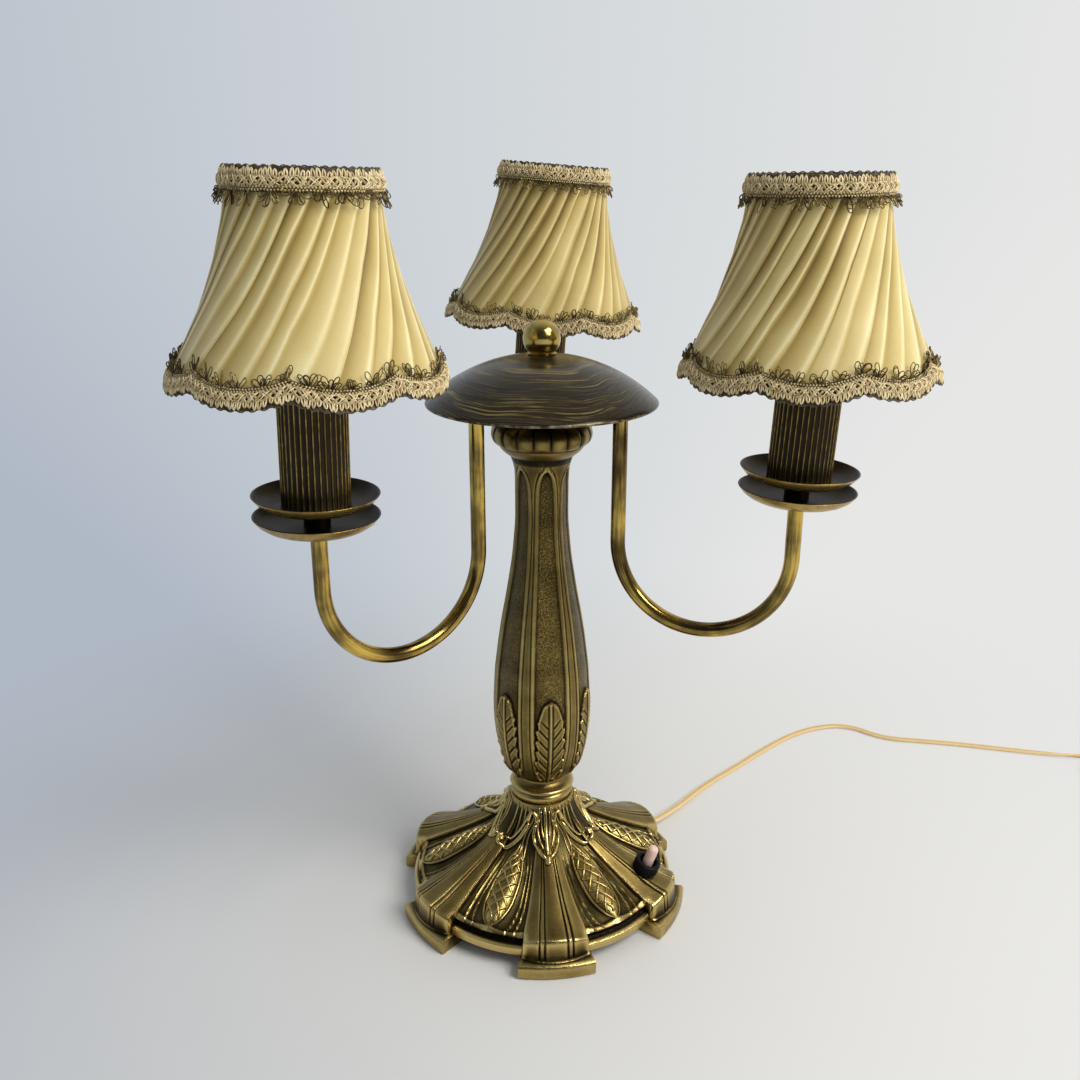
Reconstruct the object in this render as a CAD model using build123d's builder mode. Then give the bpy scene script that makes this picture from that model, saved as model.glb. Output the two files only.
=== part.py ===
"""Three-light candelabra table lamp: a cast brass foot and column, three bent arms under a
lacquered canopy, and a clip-on silk shade over each candle.

Frame: millimetres, +Z up, origin on the floor at the column's axis, one foot pointing along -Y.
Angles are in degrees, counted anticlockwise from +X.
"""

import os
from math import acos, cos, degrees, hypot, pi, radians, sin, sqrt, tan

from build123d import *

# ------------------------------------------------------------------ driving dimensions
air = 0.3  # gap between pieces that move past each other
seat = 0.1  # gap round a turned piece in its seat

# Base casting
foot_count = 6
foot_angle = -90.0  # the foot that points straight ahead
foot_radius = 87.0  # outer arc of the foot slabs
foot_half_angle = 14.3
foot_slab = 7.5
foot_ledge = 2.4
foot_bevel = 1.5
ledge_step = 1.0  # the ledge lies this far behind the face's nose
foot_face = 84.4  # nose of the bowed face above the slab
foot_bow = 30.0  # radius of that bow
foot_inner = 62.0
foot_wall = 5.0
pocket_half_width = 12.5
pocket_low_roof = 6.5  # heights of the pocket's roof above the ledge
pocket_high_roof = 12.5
rim_radius = 78.0
rim_low = 8.0
rim_band = 5.0
rim_cove = 3.5
cavity_radius = 70.0
cast_wall = 3.6
collar_seat = 66.0  # height of the casting's top
collar_seat_radius = 18.5
boss_radius = 17.0
boss_thickness = 10.0

# Rays, one station a row: distance from the axis, half width, edge height, crown height
ray_stations = (
    (15.0, 4.6, 63.5, 65.0),
    (28.0, 6.0, 48.0, 50.2),
    (40.0, 8.4, 38.8, 41.6),
    (60.0, 13.0, 27.6, 31.6),
    (76.5, 17.6, 20.3, 25.4),
    (86.0, 19.4, 17.6, 23.0),
)
ray_depth = 8.0
groove_depth = 0.7
groove_places = (-0.60, -0.44, 0.44, 0.60)  # shares of the half width
groove_half_share = 0.045
ground_drop = 2.6  # the ground between the rays lies this far under their edges

# Seed pods between the rays, one station a row: distance from the axis, height, girth
pod_stations = (
    (36.5, 35.6, 1.2),
    (43.0, 32.0, 5.4),
    (52.0, 27.0, 7.0),
    (62.0, 21.8, 5.2),
    (69.0, 18.0, 1.0),
)
pod_sides = 8

# Column stack
rod_radius = 5.0
rod_low = 45.0
washer_radius = 14.0
washer_thickness = 1.6
nut_across_flats = 17.0
nut_thickness = 7.0
collar_top = 81.0
collar_bead = 18.2
collar_ring = 18.9
collar_neck = 13.7
# Column, one level a row: radius, height, half angle of the panel (0 where there is none)
column_levels = (
    (15.9, 81.0, 0),
    (21.8, 88.0, 0),
    (26.4, 104.0, 15.0),
    (27.8, 122.0, 20.0),
    (26.9, 146.0, 21.5),
    (23.4, 173.0, 21.0),
    (18.6, 201.0, 20.5),
    (15.1, 228.0, 20.5),
    (14.3, 250.0, 18.0),
    (14.8, 265.0, 0),
    (17.1, 273.0, 0),
)
column_wall = 5.0
panel_count = 6
panel_turn = 5.0  # the panels stand a little off the feet
panel_sink = 0.9
panel_bevel = 1.6  # degrees
band_groove = 0.5
band_groove_half_angle = 2.4

# Capital, one level a row: radius between the gadroons, height above the column, their depth
capital_levels = (
    (16.6, 0.0, 0.5),
    (21.4, 3.4, 1.0),
    (25.6, 7.4, 1.8),
    (25.9, 12.0, 1.8),
    (22.4, 17.6, 1.4),
    (17.0, 20.0, 0.6),
)
gadroon_count = 18

hub_height = 20.0
hub_radius = 14.0
spigot_radius = 8.0

dome_rim = 61.7
dome_apex = 327.0
dome_curve = 90.0
dome_wall = 1.2
dome_bands = 5

ball_radius = 9.9
ball_height = 335.2
ball_neck = 7.0
ball_bore_over = 2.0  # the rod's hole ends this far above the ball's middle
ball_bands = 7

# Arms
arm_angles = {"left": 213.9, "right": 336.0, "back": 85.9}
arm_reach = 135.6  # distance of the candles from the axis
arm_inner = 43.2  # the leg that comes down beside the column
arm_tube = 4.0
arm_low = 182.9
arm_root = 306.5
arm_root_bend = 10.0
arm_socket = 6.0
arm_tip = 279.0
arm_sides = 10

# Each candle leans a little on its stem, all towards the same side
candle_leans = {"left": 1.5, "right": 2.5, "back": 4.0}
lean_towards = -5.7
lean_height = 269.0
stem_play = 0.8

# Drip pans and candle
pan_lip = 29.5
pan_floor_radius = 22.6
pan_depth = 6.2
pan_wall = 0.8
round_sides = 24  # faces round a pan, holder, bulb or shade
lower_pan = 260.4
spacer_radius = 6.25
spacer_height = 9.4
sleeve_radius = 16.0
sleeve_wall = 1.6
sleeve_height = 61.6
flute_count = 36
flute_depth = 0.6
stem_nut_radius = 8.0
stem_nut_height = 5.0
holder_radius = 12.5
holder_height = 45.0
holder_floor = 18.0
cap_radius = 6.9
cap_height = 20.0
cap_taper = 2.4
bulb_tip = 405.0
bulb_outline = (
    (6.6, 0.0),
    (12.3, 9.0),
    (16.4, 20.0),
    (17.5, 30.0),
    (15.6, 46.0),
    (11.0, 61.0),
    (4.6, 74.6),
)
bulb_point = 0.6
glass_wall = 0.9

# Clip-on shade
cloth_outline = (
    (31.2, 418.6),
    (33.0, 395.0),
    (37.6, 368.0),
    (46.6, 347.0),
    (56.5, 332.6),
    (61.9, 322.0),
)
cloth_sides = 24
cloth = 1.1
scallop_count = 8
scallop_drop = 4.4
scallop_angles = {"left": 20.1, "right": 27.5, "back": 39.5}  # middle of one scallop
braid = 1.5
braid_height = 12.0
braid_over = 0.8
braid_stand_off = 1.1  # the upper braid stands off the cloth's top edge
wire = 0.8
rib_count = 8
ring_inset = 1.6
clip_low = 371.0
clip_high = 386.0
clip_legs = 4

# Push switch on one ray
switch_angle = -30.0
switch_radius = 66.4
switch_surface = 29.2
switch_tilt = 18.5
switch_spot = 0.9
switch_panel = 8.6
switch_collar_radius = 7.5
switch_collar_height = 7.0
barrel_radius = 5.0
barrel_out = 4.0
case_radius = 7.6
case_length = 13.0
chamber_radius = 4.8
spring_room = 1.0  # left under the pressed button
button_radius = 3.1
button_out = 17.2
button_flange = 1.3
button_flange_height = 2.0
button_travel = 3.0
switch_wall = 0.6  # over the chamber
case_room = 3.0  # free depth behind the case
button_bevel = 1.2
collar_bevel = 1.0

# Cord
cord_diameter = 5.0
cord_sides = 8
cord_hole_angle = 30.0
cord_hole_height = 8.0
grommet_radius = 4.4
grommet_flange_radius = 6.0
grommet_flange = 1.4
cord_points = (
    (65.4, 37.75, 8.0),
    (80.5, 46.5, 8.0),
    (102.0, 70.5, 3.6),
    (125.0, 95.3, 2.6),
    (152.3, 116.2, 2.6),
    (180.4, 139.0, 2.6),
    (206.5, 158.4, 2.6),
    (229.0, 168.9, 2.6),
    (249.5, 172.4, 2.6),
    (264.5, 166.6, 2.6),
    (275.0, 154.2, 2.6),
    (287.5, 146.8, 2.6),
    (308.0, 141.6, 2.6),
    (337.0, 133.2, 2.6),
    (365.5, 122.9, 2.6),
    (393.5, 111.6, 2.6),
    (420.0, 102.4, 2.6),
    (452.0, 92.3, 2.6),
)
arc_share = 0.45  # share of the shorter run that a cord's bend takes
coil_radius = 28.0  # middle of the coil's windings
coil_width = 14.0
coil_height = 16.0
plug_turn = -90.0
plug_length = 34.0
plug_width = 34.0
plug_height = 14.0
plug_corner = 6.0
plug_bevel = 1.8
plug_nose_radius = 4.2
plug_nose_root = 4.0  # the nose runs this far into the plug
pin_radius = 2.0
pin_length = 19.0
pin_bevel = 0.8
pin_spacing = 18.6

os.makedirs("parts", exist_ok=True)


# ------------------------------------------------------------------ helpers
def write(piece, name, place=Location()):
    """Puts a finished piece in its place, labels it and writes its STEP file."""
    placed = piece.part.moved(place)
    placed.label = name
    export_step(placed, f"parts/{name}.step")


def spin(angle):
    """A turn about the lamp's axis."""
    return Location((0, 0, 0), (0, 0, angle))


def radial_plane(angle):
    """The upright half-section plane: x runs outwards, y runs up."""
    a = radians(angle)
    return Plane(origin=(0, 0, 0), x_dir=(cos(a), sin(a), 0), z_dir=(sin(a), -cos(a), 0))


def facing_plane(angle, radius=0.0, height=0.0):
    """An upright plane that faces outwards: x runs round the lamp, y runs up."""
    a = radians(angle)
    origin = (radius * cos(a), radius * sin(a), height)
    return Plane(origin=origin, x_dir=(-sin(a), cos(a), 0), z_dir=(cos(a), sin(a), 0))


def round_angles(count, start):
    """Evenly spaced angles round the lamp."""
    return [start + i * 360 / count for i in range(count)]


def inset(outline, distance):
    """The points of an outline moved sideways by a distance, to the left of its direction."""
    moved = []
    for i, (x, y) in enumerate(outline):
        before = outline[max(i - 1, 0)]
        after = outline[min(i + 1, len(outline) - 1)]
        dx, dy = after[0] - before[0], after[1] - before[1]
        moved.append((x - distance * dy / hypot(dx, dy), y + distance * dx / hypot(dx, dy)))
    return moved


def strip(line, width):
    """The closed outline of a strip that follows a line."""
    return inset(line, width / 2) + inset(line, -width / 2)[::-1]


def arc_points(radius, centre_height, start, end, bands):
    """Points of a half section's arc about the lamp's axis, from one steepness to another."""
    steps = [radians(start + (end - start) * i / bands) for i in range(bands + 1)]
    return [(radius * cos(step), centre_height + radius * sin(step)) for step in steps]


foot_angles = round_angles(foot_count, foot_angle)
bore_radius = rod_radius + seat
boss_low = collar_seat - boss_thickness
column_top = column_levels[-1][1]
capital_top = column_top + capital_levels[-1][1]
hub_top = capital_top + hub_height
dome_centre = dome_apex - dome_curve

# ------------------------------------------------------------------ base casting
# A ray is lofted through crowned sections that carry two pairs of grooves.


def ray_outline(half, edge, crown, low):
    """The crowned and grooved top of a ray's section, closed below."""
    shares = [-1.0, 1.0, 0.0]
    for place in groove_places:
        shares += [place - groove_half_share, place, place + groove_half_share]
    outline = [(-half, low)]
    for share in sorted(shares):
        sink = groove_depth if share in groove_places else 0
        outline.append((share * half, edge + (crown - edge) * (1 - share**2) - sink))
    return outline + [(half, low)]


with BuildPart() as ray:
    for distance, half, edge, crown in ray_stations:
        low = edge - ray_depth if distance < foot_inner else foot_slab
        with BuildSketch(facing_plane(0, distance)):
            with BuildLine():
                Polyline(*ray_outline(half, edge, crown, low), close=True)
            make_face()
    loft(ruled=True)
    with BuildSketch():
        with Locations((foot_face - foot_bow, 0)):
            Circle(foot_bow)
        with Locations(((foot_face - foot_bow) / 2, 0)):
            Rectangle(foot_face - foot_bow, 2 * foot_bow)
    extrude(amount=collar_seat, mode=Mode.INTERSECT)

with BuildPart() as foot:
    with BuildSketch(radial_plane(-foot_half_angle)):
        with BuildLine():
            Polyline(
                (foot_inner, 0),
                (foot_radius, 0),
                (foot_radius, foot_slab - foot_bevel),
                (foot_radius - foot_bevel, foot_slab),
                (foot_face - ledge_step, foot_slab + foot_ledge),
                (foot_inner, foot_slab + foot_ledge),
                close=True,
            )
        make_face()
    revolve(axis=Axis.Z, revolution_arc=2 * foot_half_angle)

with BuildPart() as pod:
    for distance, height, girth in pod_stations:
        with BuildSketch(facing_plane(0, distance)):
            with Locations((0, height)):
                RegularPolygon(girth, pod_sides)
    loft(ruled=True)

inner_stations = [row for row in ray_stations if boss_radius < row[0] < foot_inner]
cavity_line = [(r - cast_wall / 2, e - ground_drop - cast_wall) for r, _, e, _ in inner_stations]
switch_slope = radians(switch_tilt)
switch_direction = (cos(radians(switch_angle)), sin(radians(switch_angle)))
switch_plane = Plane(
    origin=(*(switch_radius * v for v in switch_direction), switch_surface),
    x_dir=(*(cos(switch_slope) * v for v in switch_direction), -sin(switch_slope)),
    z_dir=(*(sin(switch_slope) * v for v in switch_direction), cos(switch_slope)),
)

with BuildPart() as base:
    with BuildSketch(Plane.XZ):
        with BuildLine():
            Polyline(
                (0, rim_low),
                (rim_radius, rim_low),
                (rim_radius, rim_low + rim_band),
                (rim_radius - rim_cove, rim_low + rim_band + rim_cove),
                (rim_radius - rim_cove, rim_low + rim_band + rim_cove + 2),
                *[(row[0], row[2] - ground_drop) for row in reversed(inner_stations)],
                (collar_seat_radius, collar_seat),
                (0, collar_seat),
                close=True,
            )
        make_face()
    revolve(axis=Axis.Z)
    with PolarLocations(0, foot_count, start_angle=foot_angle):
        add(ray.part)
        add(foot.part)
    with PolarLocations(0, foot_count, start_angle=foot_angle + 180 / foot_count):
        add(pod.part)
    # The casting is hollow below, up to a boss for the tie rod
    with BuildSketch(Plane.XZ):
        with BuildLine():
            Polyline(
                (0, -1),
                (cavity_radius, -1),
                (cavity_radius, rim_low + rim_band),
                *reversed(cavity_line),
                (boss_radius, boss_low),
                (0, boss_low),
                close=True,
            )
        make_face()
    revolve(axis=Axis.Z, mode=Mode.SUBTRACT)
    # and so are the feet
    with BuildSketch(*[radial_plane(a) for a in foot_angles]):
        with BuildLine():
            Polyline(
                (foot_inner - 4, -1),
                (foot_face - foot_wall, -1),
                (foot_face - foot_wall, foot_slab + foot_ledge + pocket_low_roof),
                (foot_inner - 2, foot_slab + foot_ledge + pocket_high_roof),
                (foot_inner - 4, foot_slab + foot_ledge + pocket_high_roof),
                close=True,
            )
        make_face()
    extrude(amount=pocket_half_width, both=True, mode=Mode.SUBTRACT)
    with BuildSketch(Plane.XY.offset(boss_low)):
        Circle(bore_radius)
    extrude(amount=boss_thickness, mode=Mode.SUBTRACT)
    # Spot faces and hole for the switch
    with BuildSketch(switch_plane.offset(-switch_spot)):
        Circle(switch_collar_radius + air)
    extrude(amount=switch_collar_height, mode=Mode.SUBTRACT)
    with BuildSketch(switch_plane.offset(-switch_panel)):
        Circle(barrel_radius + seat)
    extrude(amount=switch_panel, mode=Mode.SUBTRACT)
    with BuildSketch(switch_plane.offset(-switch_panel - case_length - case_room)):
        Circle(case_radius + air)
    extrude(amount=case_length + case_room, mode=Mode.SUBTRACT)
    # Hole and spot face for the cord's grommet
    with BuildSketch(facing_plane(cord_hole_angle, foot_inner, cord_hole_height)):
        Circle(grommet_radius + seat)
    extrude(amount=foot_radius, mode=Mode.SUBTRACT)
    with BuildSketch(facing_plane(cord_hole_angle, foot_face - grommet_flange, cord_hole_height)):
        Circle(grommet_flange_radius + seat)
    extrude(amount=foot_wall, mode=Mode.SUBTRACT)
write(base, "base")

# ------------------------------------------------------------------ column stack
with BuildPart() as base_washer:
    with BuildSketch(Plane.XY.offset(boss_low - washer_thickness)):
        Circle(washer_radius)
        Circle(bore_radius, mode=Mode.SUBTRACT)
    extrude(amount=washer_thickness)
write(base_washer, "base_washer")

with BuildPart() as base_nut:
    with BuildSketch(Plane.XY.offset(boss_low - washer_thickness - nut_thickness)):
        RegularPolygon(nut_across_flats / 2, 6, major_radius=False)
        Circle(bore_radius, mode=Mode.SUBTRACT)
    extrude(amount=nut_thickness)
write(base_nut, "base_nut")

with BuildPart() as collar:
    with BuildSketch(Plane.XZ):
        with BuildLine():
            Polyline(
                (bore_radius, collar_seat),
                (collar_bead - 1.4, collar_seat),
                (collar_bead, collar_seat + 1.4),
                (collar_bead, collar_seat + 3.8),
                (collar_bead - 1.4, collar_seat + 5.2),
                (collar_ring, collar_seat + 6.4),
                (collar_ring, collar_seat + 8.0),
                (collar_ring - 3.2, collar_seat + 9.6),
                (collar_neck, collar_seat + 12.0),
                (collar_neck + 2.2, collar_top),
                (bore_radius, collar_top),
                close=True,
            )
        make_face()
    revolve(axis=Axis.Z)
write(collar, "collar")

# The column is lofted through rings of straight facets: pointed panels are sunk between raised
# bands, and each band carries a groove.


def column_ring(radius, half_angle):
    """One level of the column, as points round the axis."""
    sink = panel_sink if half_angle else 0
    groove = band_groove if half_angle else 0
    half = max(half_angle, 1.0)
    half_pitch = 180 / panel_count
    sector = (
        (-half_pitch, radius - groove),
        (-half_pitch + band_groove_half_angle, radius),
        (-half - panel_bevel, radius),
        (-half, radius - sink),
        (0, radius - sink),
        (half, radius - sink),
        (half + panel_bevel, radius),
        (half_pitch - band_groove_half_angle, radius),
    )
    points = []
    for centre in round_angles(panel_count, foot_angle + panel_turn):
        points += [(r * cos(radians(centre + a)), r * sin(radians(centre + a))) for a, r in sector]
    return points


with BuildPart() as column:
    for radius, height, half_angle in column_levels:
        with BuildSketch(Plane.XY.offset(height)):
            Polygon(*column_ring(radius, half_angle), align=None)
    loft(ruled=True)
    with BuildSketch(Plane.XZ):
        with BuildLine():
            Polyline(
                (0, collar_top),
                (bore_radius, collar_top),
                (bore_radius, column_levels[1][1]),
                *[(r - column_wall, h) for r, h, _ in column_levels[2:-2]],
                (bore_radius, column_levels[-2][1]),
                (bore_radius, column_top),
                (0, column_top),
                close=True,
            )
        make_face()
    revolve(axis=Axis.Z, mode=Mode.SUBTRACT)
write(column, "column")


def gadroon_ring(radius, depth):
    """One level of the capital: a ring of plump lobes."""
    points = []
    for start in round_angles(gadroon_count, 0):
        for share, swell in ((0, 0), (0.2, 0.75), (0.5, 1), (0.8, 0.75)):
            turn = radians(start + share * 360 / gadroon_count)
            reach = radius + swell * depth
            points.append((reach * cos(turn), reach * sin(turn)))
    return points


with BuildPart() as capital:
    for radius, rise, depth in capital_levels:
        with BuildSketch(Plane.XY.offset(column_top + rise)):
            Polygon(*gadroon_ring(radius, depth), align=None)
    loft(ruled=True)
    with BuildSketch(Plane.XY.offset(column_top)):
        Circle(bore_radius)
    extrude(amount=capital_top - column_top, mode=Mode.SUBTRACT)
write(capital, "capital")

dome_inner = dome_curve - dome_wall
with BuildPart() as hub:
    with BuildSketch(Plane.XY.offset(capital_top)):
        Circle(hub_radius)
    extrude(amount=hub_height)
    with BuildSketch(Plane.XY.offset(hub_top)):
        Circle(spigot_radius)
    extrude(amount=dome_centre + sqrt(dome_inner**2 - spigot_radius**2) - air - hub_top)
    with BuildSketch(Plane.XY.offset(capital_top)):
        Circle(bore_radius)
    extrude(amount=dome_apex - capital_top, mode=Mode.SUBTRACT)
    with BuildSketch(*[facing_plane(a, hub_radius - arm_socket, arm_root) for a in arm_angles.values()]):
        Circle(arm_tube + seat)
    extrude(amount=2 * arm_socket, mode=Mode.SUBTRACT)
write(hub, "hub")


def steepness(curve, radius):
    """The angle above level at which an arc about the axis has this distance from it."""
    return degrees(acos(radius / curve))


# The canopy is a shallow bowl, drawn as bands of a ball's skin
with BuildPart() as dome:
    with BuildSketch(Plane.XZ):
        with BuildLine():
            rim = steepness(dome_curve, dome_rim)
            hole = steepness(dome_curve, bore_radius)
            skin = arc_points(dome_curve, dome_centre, rim, hole, dome_bands)
            hole = steepness(dome_inner, bore_radius)
            under = arc_points(dome_inner, dome_centre, hole, rim, dome_bands)
            Polyline(*skin, *under, close=True)
        make_face()
    revolve(axis=Axis.Z)
write(dome, "dome")

with BuildPart() as finial:
    neck_low = dome_centre + sqrt(dome_curve**2 - bore_radius**2) + seat
    bore_end = ball_height + ball_bore_over
    with BuildSketch(Plane.XZ):
        with BuildLine():
            neck = steepness(ball_radius, ball_neck)
            ball = arc_points(ball_radius, ball_height, -neck, 90, ball_bands)
            Polyline(
                (0, bore_end),
                (bore_radius, bore_end),
                (bore_radius, neck_low),
                (ball_neck, neck_low),
                *ball[:-1],
                (0, ball_height + ball_radius),
                close=True,
            )
        make_face()
    revolve(axis=Axis.Z)
write(finial, "finial")

with BuildPart() as tie_rod:
    with BuildSketch(Plane.XY.offset(rod_low)):
        Circle(rod_radius)
    extrude(amount=ball_height + ball_bore_over - seat - rod_low)
write(tie_rod, "tie_rod")

# ------------------------------------------------------------------ push switch
chamber_height = button_flange_height + button_travel + spring_room
with BuildPart() as switch_case:
    with BuildSketch(Plane.XY.offset(-switch_panel - case_length)):
        Circle(case_radius)
    extrude(amount=case_length)
    with BuildSketch(Plane.XY.offset(-switch_panel)):
        Circle(barrel_radius)
    extrude(amount=switch_panel + barrel_out)
    with BuildSketch(Plane.XY.offset(-switch_panel - chamber_height - switch_wall)):
        Circle(chamber_radius)
    extrude(amount=chamber_height, mode=Mode.SUBTRACT)
    with BuildSketch(Plane.XY.offset(-switch_panel - 1)):
        Circle(button_radius + air)
    extrude(amount=switch_panel + barrel_out + 1, mode=Mode.SUBTRACT)
write(switch_case, "switch_case", switch_plane.location)

with BuildPart() as switch_collar:
    with BuildSketch(Plane.XY.offset(-switch_spot)):
        Circle(switch_collar_radius)
        Circle(barrel_radius + seat, mode=Mode.SUBTRACT)
    extrude(amount=switch_collar_height)
    chamfer(switch_collar.edges().group_by(Axis.Z)[-1].sort_by(SortBy.RADIUS)[-1], collar_bevel)
write(switch_collar, "switch_collar", switch_plane.location)

with BuildPart() as switch_button:
    flange_high = -switch_panel - switch_wall - air
    with BuildSketch(Plane.XY.offset(flange_high - button_flange_height)):
        Circle(button_radius + button_flange)
    extrude(amount=button_flange_height)
    with BuildSketch(Plane.XY.offset(flange_high)):
        Circle(button_radius)
    extrude(amount=button_out - switch_spot - flange_high)
    chamfer(switch_button.edges().group_by(Axis.Z)[-1], button_bevel)
write(switch_button, "switch_button", switch_plane.location)

# ------------------------------------------------------------------ arms
with BuildPart() as arm:
    arm_bend = (arm_reach - arm_inner) / 2 - 0.05
    with BuildLine(Plane.XZ):
        arm_path = FilletPolyline(
            (hub_radius - arm_socket + seat, arm_root),
            (arm_inner, arm_root),
            (arm_inner, arm_low),
            (arm_reach, arm_low),
            (arm_reach, arm_tip),
            radius=(arm_root_bend, arm_bend, arm_bend),
        )
    with BuildSketch(facing_plane(0, hub_radius - arm_socket + seat, arm_root)):
        RegularPolygon(arm_tube, arm_sides)
    sweep(path=arm_path)

stem_bore = arm_tube + stem_play
upper_pan = lower_pan + pan_wall + spacer_height
candle_floor = upper_pan + pan_wall

pan_outside = ((pan_floor_radius - 1.2, 0), (pan_floor_radius + 1.4, 1.2), (pan_lip, pan_depth))
pan_inside = ((pan_floor_radius - 0.4, pan_wall), (pan_lip - 1.2 * pan_wall, pan_depth))

with BuildPart() as pan:
    for radius, rise in pan_outside:
        with BuildSketch(Plane.XY.offset(rise)):
            RegularPolygon(radius, round_sides)
    loft(ruled=True)
    for radius, rise in pan_inside:
        with BuildSketch(Plane.XY.offset(rise)):
            RegularPolygon(radius, round_sides)
    loft(ruled=True, mode=Mode.SUBTRACT)
    with BuildSketch():
        Circle(stem_bore)
    extrude(amount=pan_wall, mode=Mode.SUBTRACT)

with BuildPart() as pan_spacer:
    with BuildSketch(Plane.XY.offset(lower_pan + pan_wall)):
        Circle(spacer_radius)
        Circle(stem_bore, mode=Mode.SUBTRACT)
    extrude(amount=spacer_height)

with BuildPart() as stem_nut:
    with BuildSketch(Plane.XY.offset(candle_floor)):
        RegularPolygon(stem_nut_radius, 6, major_radius=False)
        Circle(stem_bore, mode=Mode.SUBTRACT)
    extrude(amount=stem_nut_height)

# The sleeve's flutes meet in narrow ridges.
ridges = []
for i in range(2 * flute_count):
    turn = pi * i / flute_count
    reach = sleeve_radius - flute_depth * (i % 2)
    ridges.append((reach * cos(turn), reach * sin(turn)))

with BuildPart() as candle_sleeve:
    with BuildSketch(Plane.XY.offset(candle_floor)):
        Polygon(*ridges, align=None)
        Circle(sleeve_radius - sleeve_wall, mode=Mode.SUBTRACT)
    extrude(amount=sleeve_height)

holder_low = candle_floor + stem_nut_height
holder_top = holder_low + holder_height
bulb_foot = holder_top + air

with BuildPart() as lampholder:
    with BuildSketch(Plane.XY.offset(holder_low)):
        RegularPolygon(holder_radius, round_sides)
    extrude(amount=holder_height)
    with BuildSketch(Plane.XY.offset(holder_low)):
        RegularPolygon(stem_bore + seat, arm_sides)
    extrude(amount=holder_floor, mode=Mode.SUBTRACT)
    with BuildSketch(Plane.XY.offset(holder_low + holder_floor)):
        RegularPolygon(cap_radius + 2 * air, round_sides)
    extrude(amount=holder_height, mode=Mode.SUBTRACT)

with BuildPart() as bulb_cap:
    for radius, drop in (
        (cap_radius - cap_taper, cap_height),
        (cap_radius, cap_height - cap_taper),
        (cap_radius, 0),
    ):
        with BuildSketch(Plane.XY.offset(bulb_foot - drop)):
            RegularPolygon(radius, round_sides)
    loft(ruled=True)

glass_inside = inset(bulb_outline, glass_wall)
with BuildPart() as bulb_glass:
    for radius, rise in (*bulb_outline, (bulb_point, bulb_tip - bulb_foot)):
        with BuildSketch(Plane.XY.offset(bulb_foot + rise)):
            RegularPolygon(radius, round_sides)
    loft(ruled=True)
    for radius, rise in ((glass_inside[0][0], -1), *glass_inside[1:]):
        with BuildSketch(Plane.XY.offset(bulb_foot + rise)):
            RegularPolygon(radius, round_sides)
    loft(ruled=True, mode=Mode.SUBTRACT)

# ------------------------------------------------------------------ shade
cloth_top = cloth_outline[0][1]
cloth_low = cloth_outline[-1][1]
scallop_cusp = cloth_low + scallop_drop
half_scallop = cloth_outline[-1][0] * sin(pi / scallop_count)
scallop_radius = (half_scallop**2 + scallop_drop**2) / (2 * scallop_drop)
quarter_rise = scallop_radius - sqrt(scallop_radius**2 - (half_scallop / 2) ** 2)


def scallop_curves(lift):
    """Two scallops that meet in a cusp above the sketch's x axis, from left to right."""
    return Polyline(
        (-half_scallop, cloth_low + lift),
        (-half_scallop / 2, cloth_low + quarter_rise + lift),
        (0, scallop_cusp + lift),
        (half_scallop / 2, cloth_low + quarter_rise + lift),
        (half_scallop, cloth_low + lift),
    )


cusp_planes = [facing_plane(a) for a in round_angles(scallop_count, 180 / scallop_count)]

with BuildPart() as notches:
    with BuildSketch(*cusp_planes):
        with BuildLine():
            edge = scallop_curves(0)
            Polyline(edge @ 1, (half_scallop, cloth_low - 3), (-half_scallop, cloth_low - 3), edge @ 0)
        make_face()
    extrude(amount=1.3 * cloth_outline[-1][0])

with BuildPart() as above_braid:
    with BuildSketch(*cusp_planes):
        with BuildLine():
            edge = scallop_curves(braid_height)
            top = cloth_low + 3 * braid_height
            Polyline(edge @ 1, (half_scallop, top), (-half_scallop, top), edge @ 0)
        make_face()
    extrude(amount=1.3 * cloth_outline[-1][0])

turn_to_flats = 180 / rib_count + 180 / cloth_sides  # a flat, not a corner, lies over each rib
flat_share = cos(pi / cloth_sides)
liner_line = inset(cloth_outline, -cloth)
braid_inside = inset(cloth_outline[3:], 2 * seat)
braid_outside = inset(cloth_outline[3:], 2 * seat + braid)


def cloth_rings(*outline):
    """Levels of the shade, each an outline of flats round the candle."""
    rings = []
    for radius, height in outline:
        with BuildSketch(Plane.XY.offset(height)) as ring:
            RegularPolygon(radius, cloth_sides, rotation=turn_to_flats)
        rings.append(ring.sketch.face())
    return rings


with BuildPart() as shade_cover:
    loft(cloth_rings(*cloth_outline), ruled=True)
    loft(cloth_rings((liner_line[0][0], cloth_top + 1), *liner_line[1:]), ruled=True, mode=Mode.SUBTRACT)
    add(notches.part, mode=Mode.SUBTRACT)

with BuildPart() as bottom_braid:
    loft(cloth_rings(*braid_outside), ruled=True)
    loft(cloth_rings(*braid_inside), ruled=True, mode=Mode.SUBTRACT)
    add(notches.part, mode=Mode.SUBTRACT)
    add(above_braid.part, mode=Mode.SUBTRACT)

top_inside = cloth_outline[0][0] + braid_stand_off
braid_foot = cloth_top + braid_over - braid_height
with BuildPart() as top_braid:
    outer, inner = cloth_rings((top_inside + braid, braid_foot), (top_inside, braid_foot))
    extrude(outer, amount=braid_height)
    extrude(inner, amount=braid_height, mode=Mode.SUBTRACT)

# Wire frame: two rings and the ribs between them, under the cloth
rib_line = [(r * flat_share, z) for r, z in inset(cloth_outline[:-1], -(cloth + 2 * seat + wire))]
rib_line[0] = (rib_line[0][0], cloth_top - ring_inset)
ring_radii = [rib_line[0][0] - wire / 2, rib_line[-1][0] - wire / 2]
ring_heights = [rib_line[0][1], rib_line[-1][1]]

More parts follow.
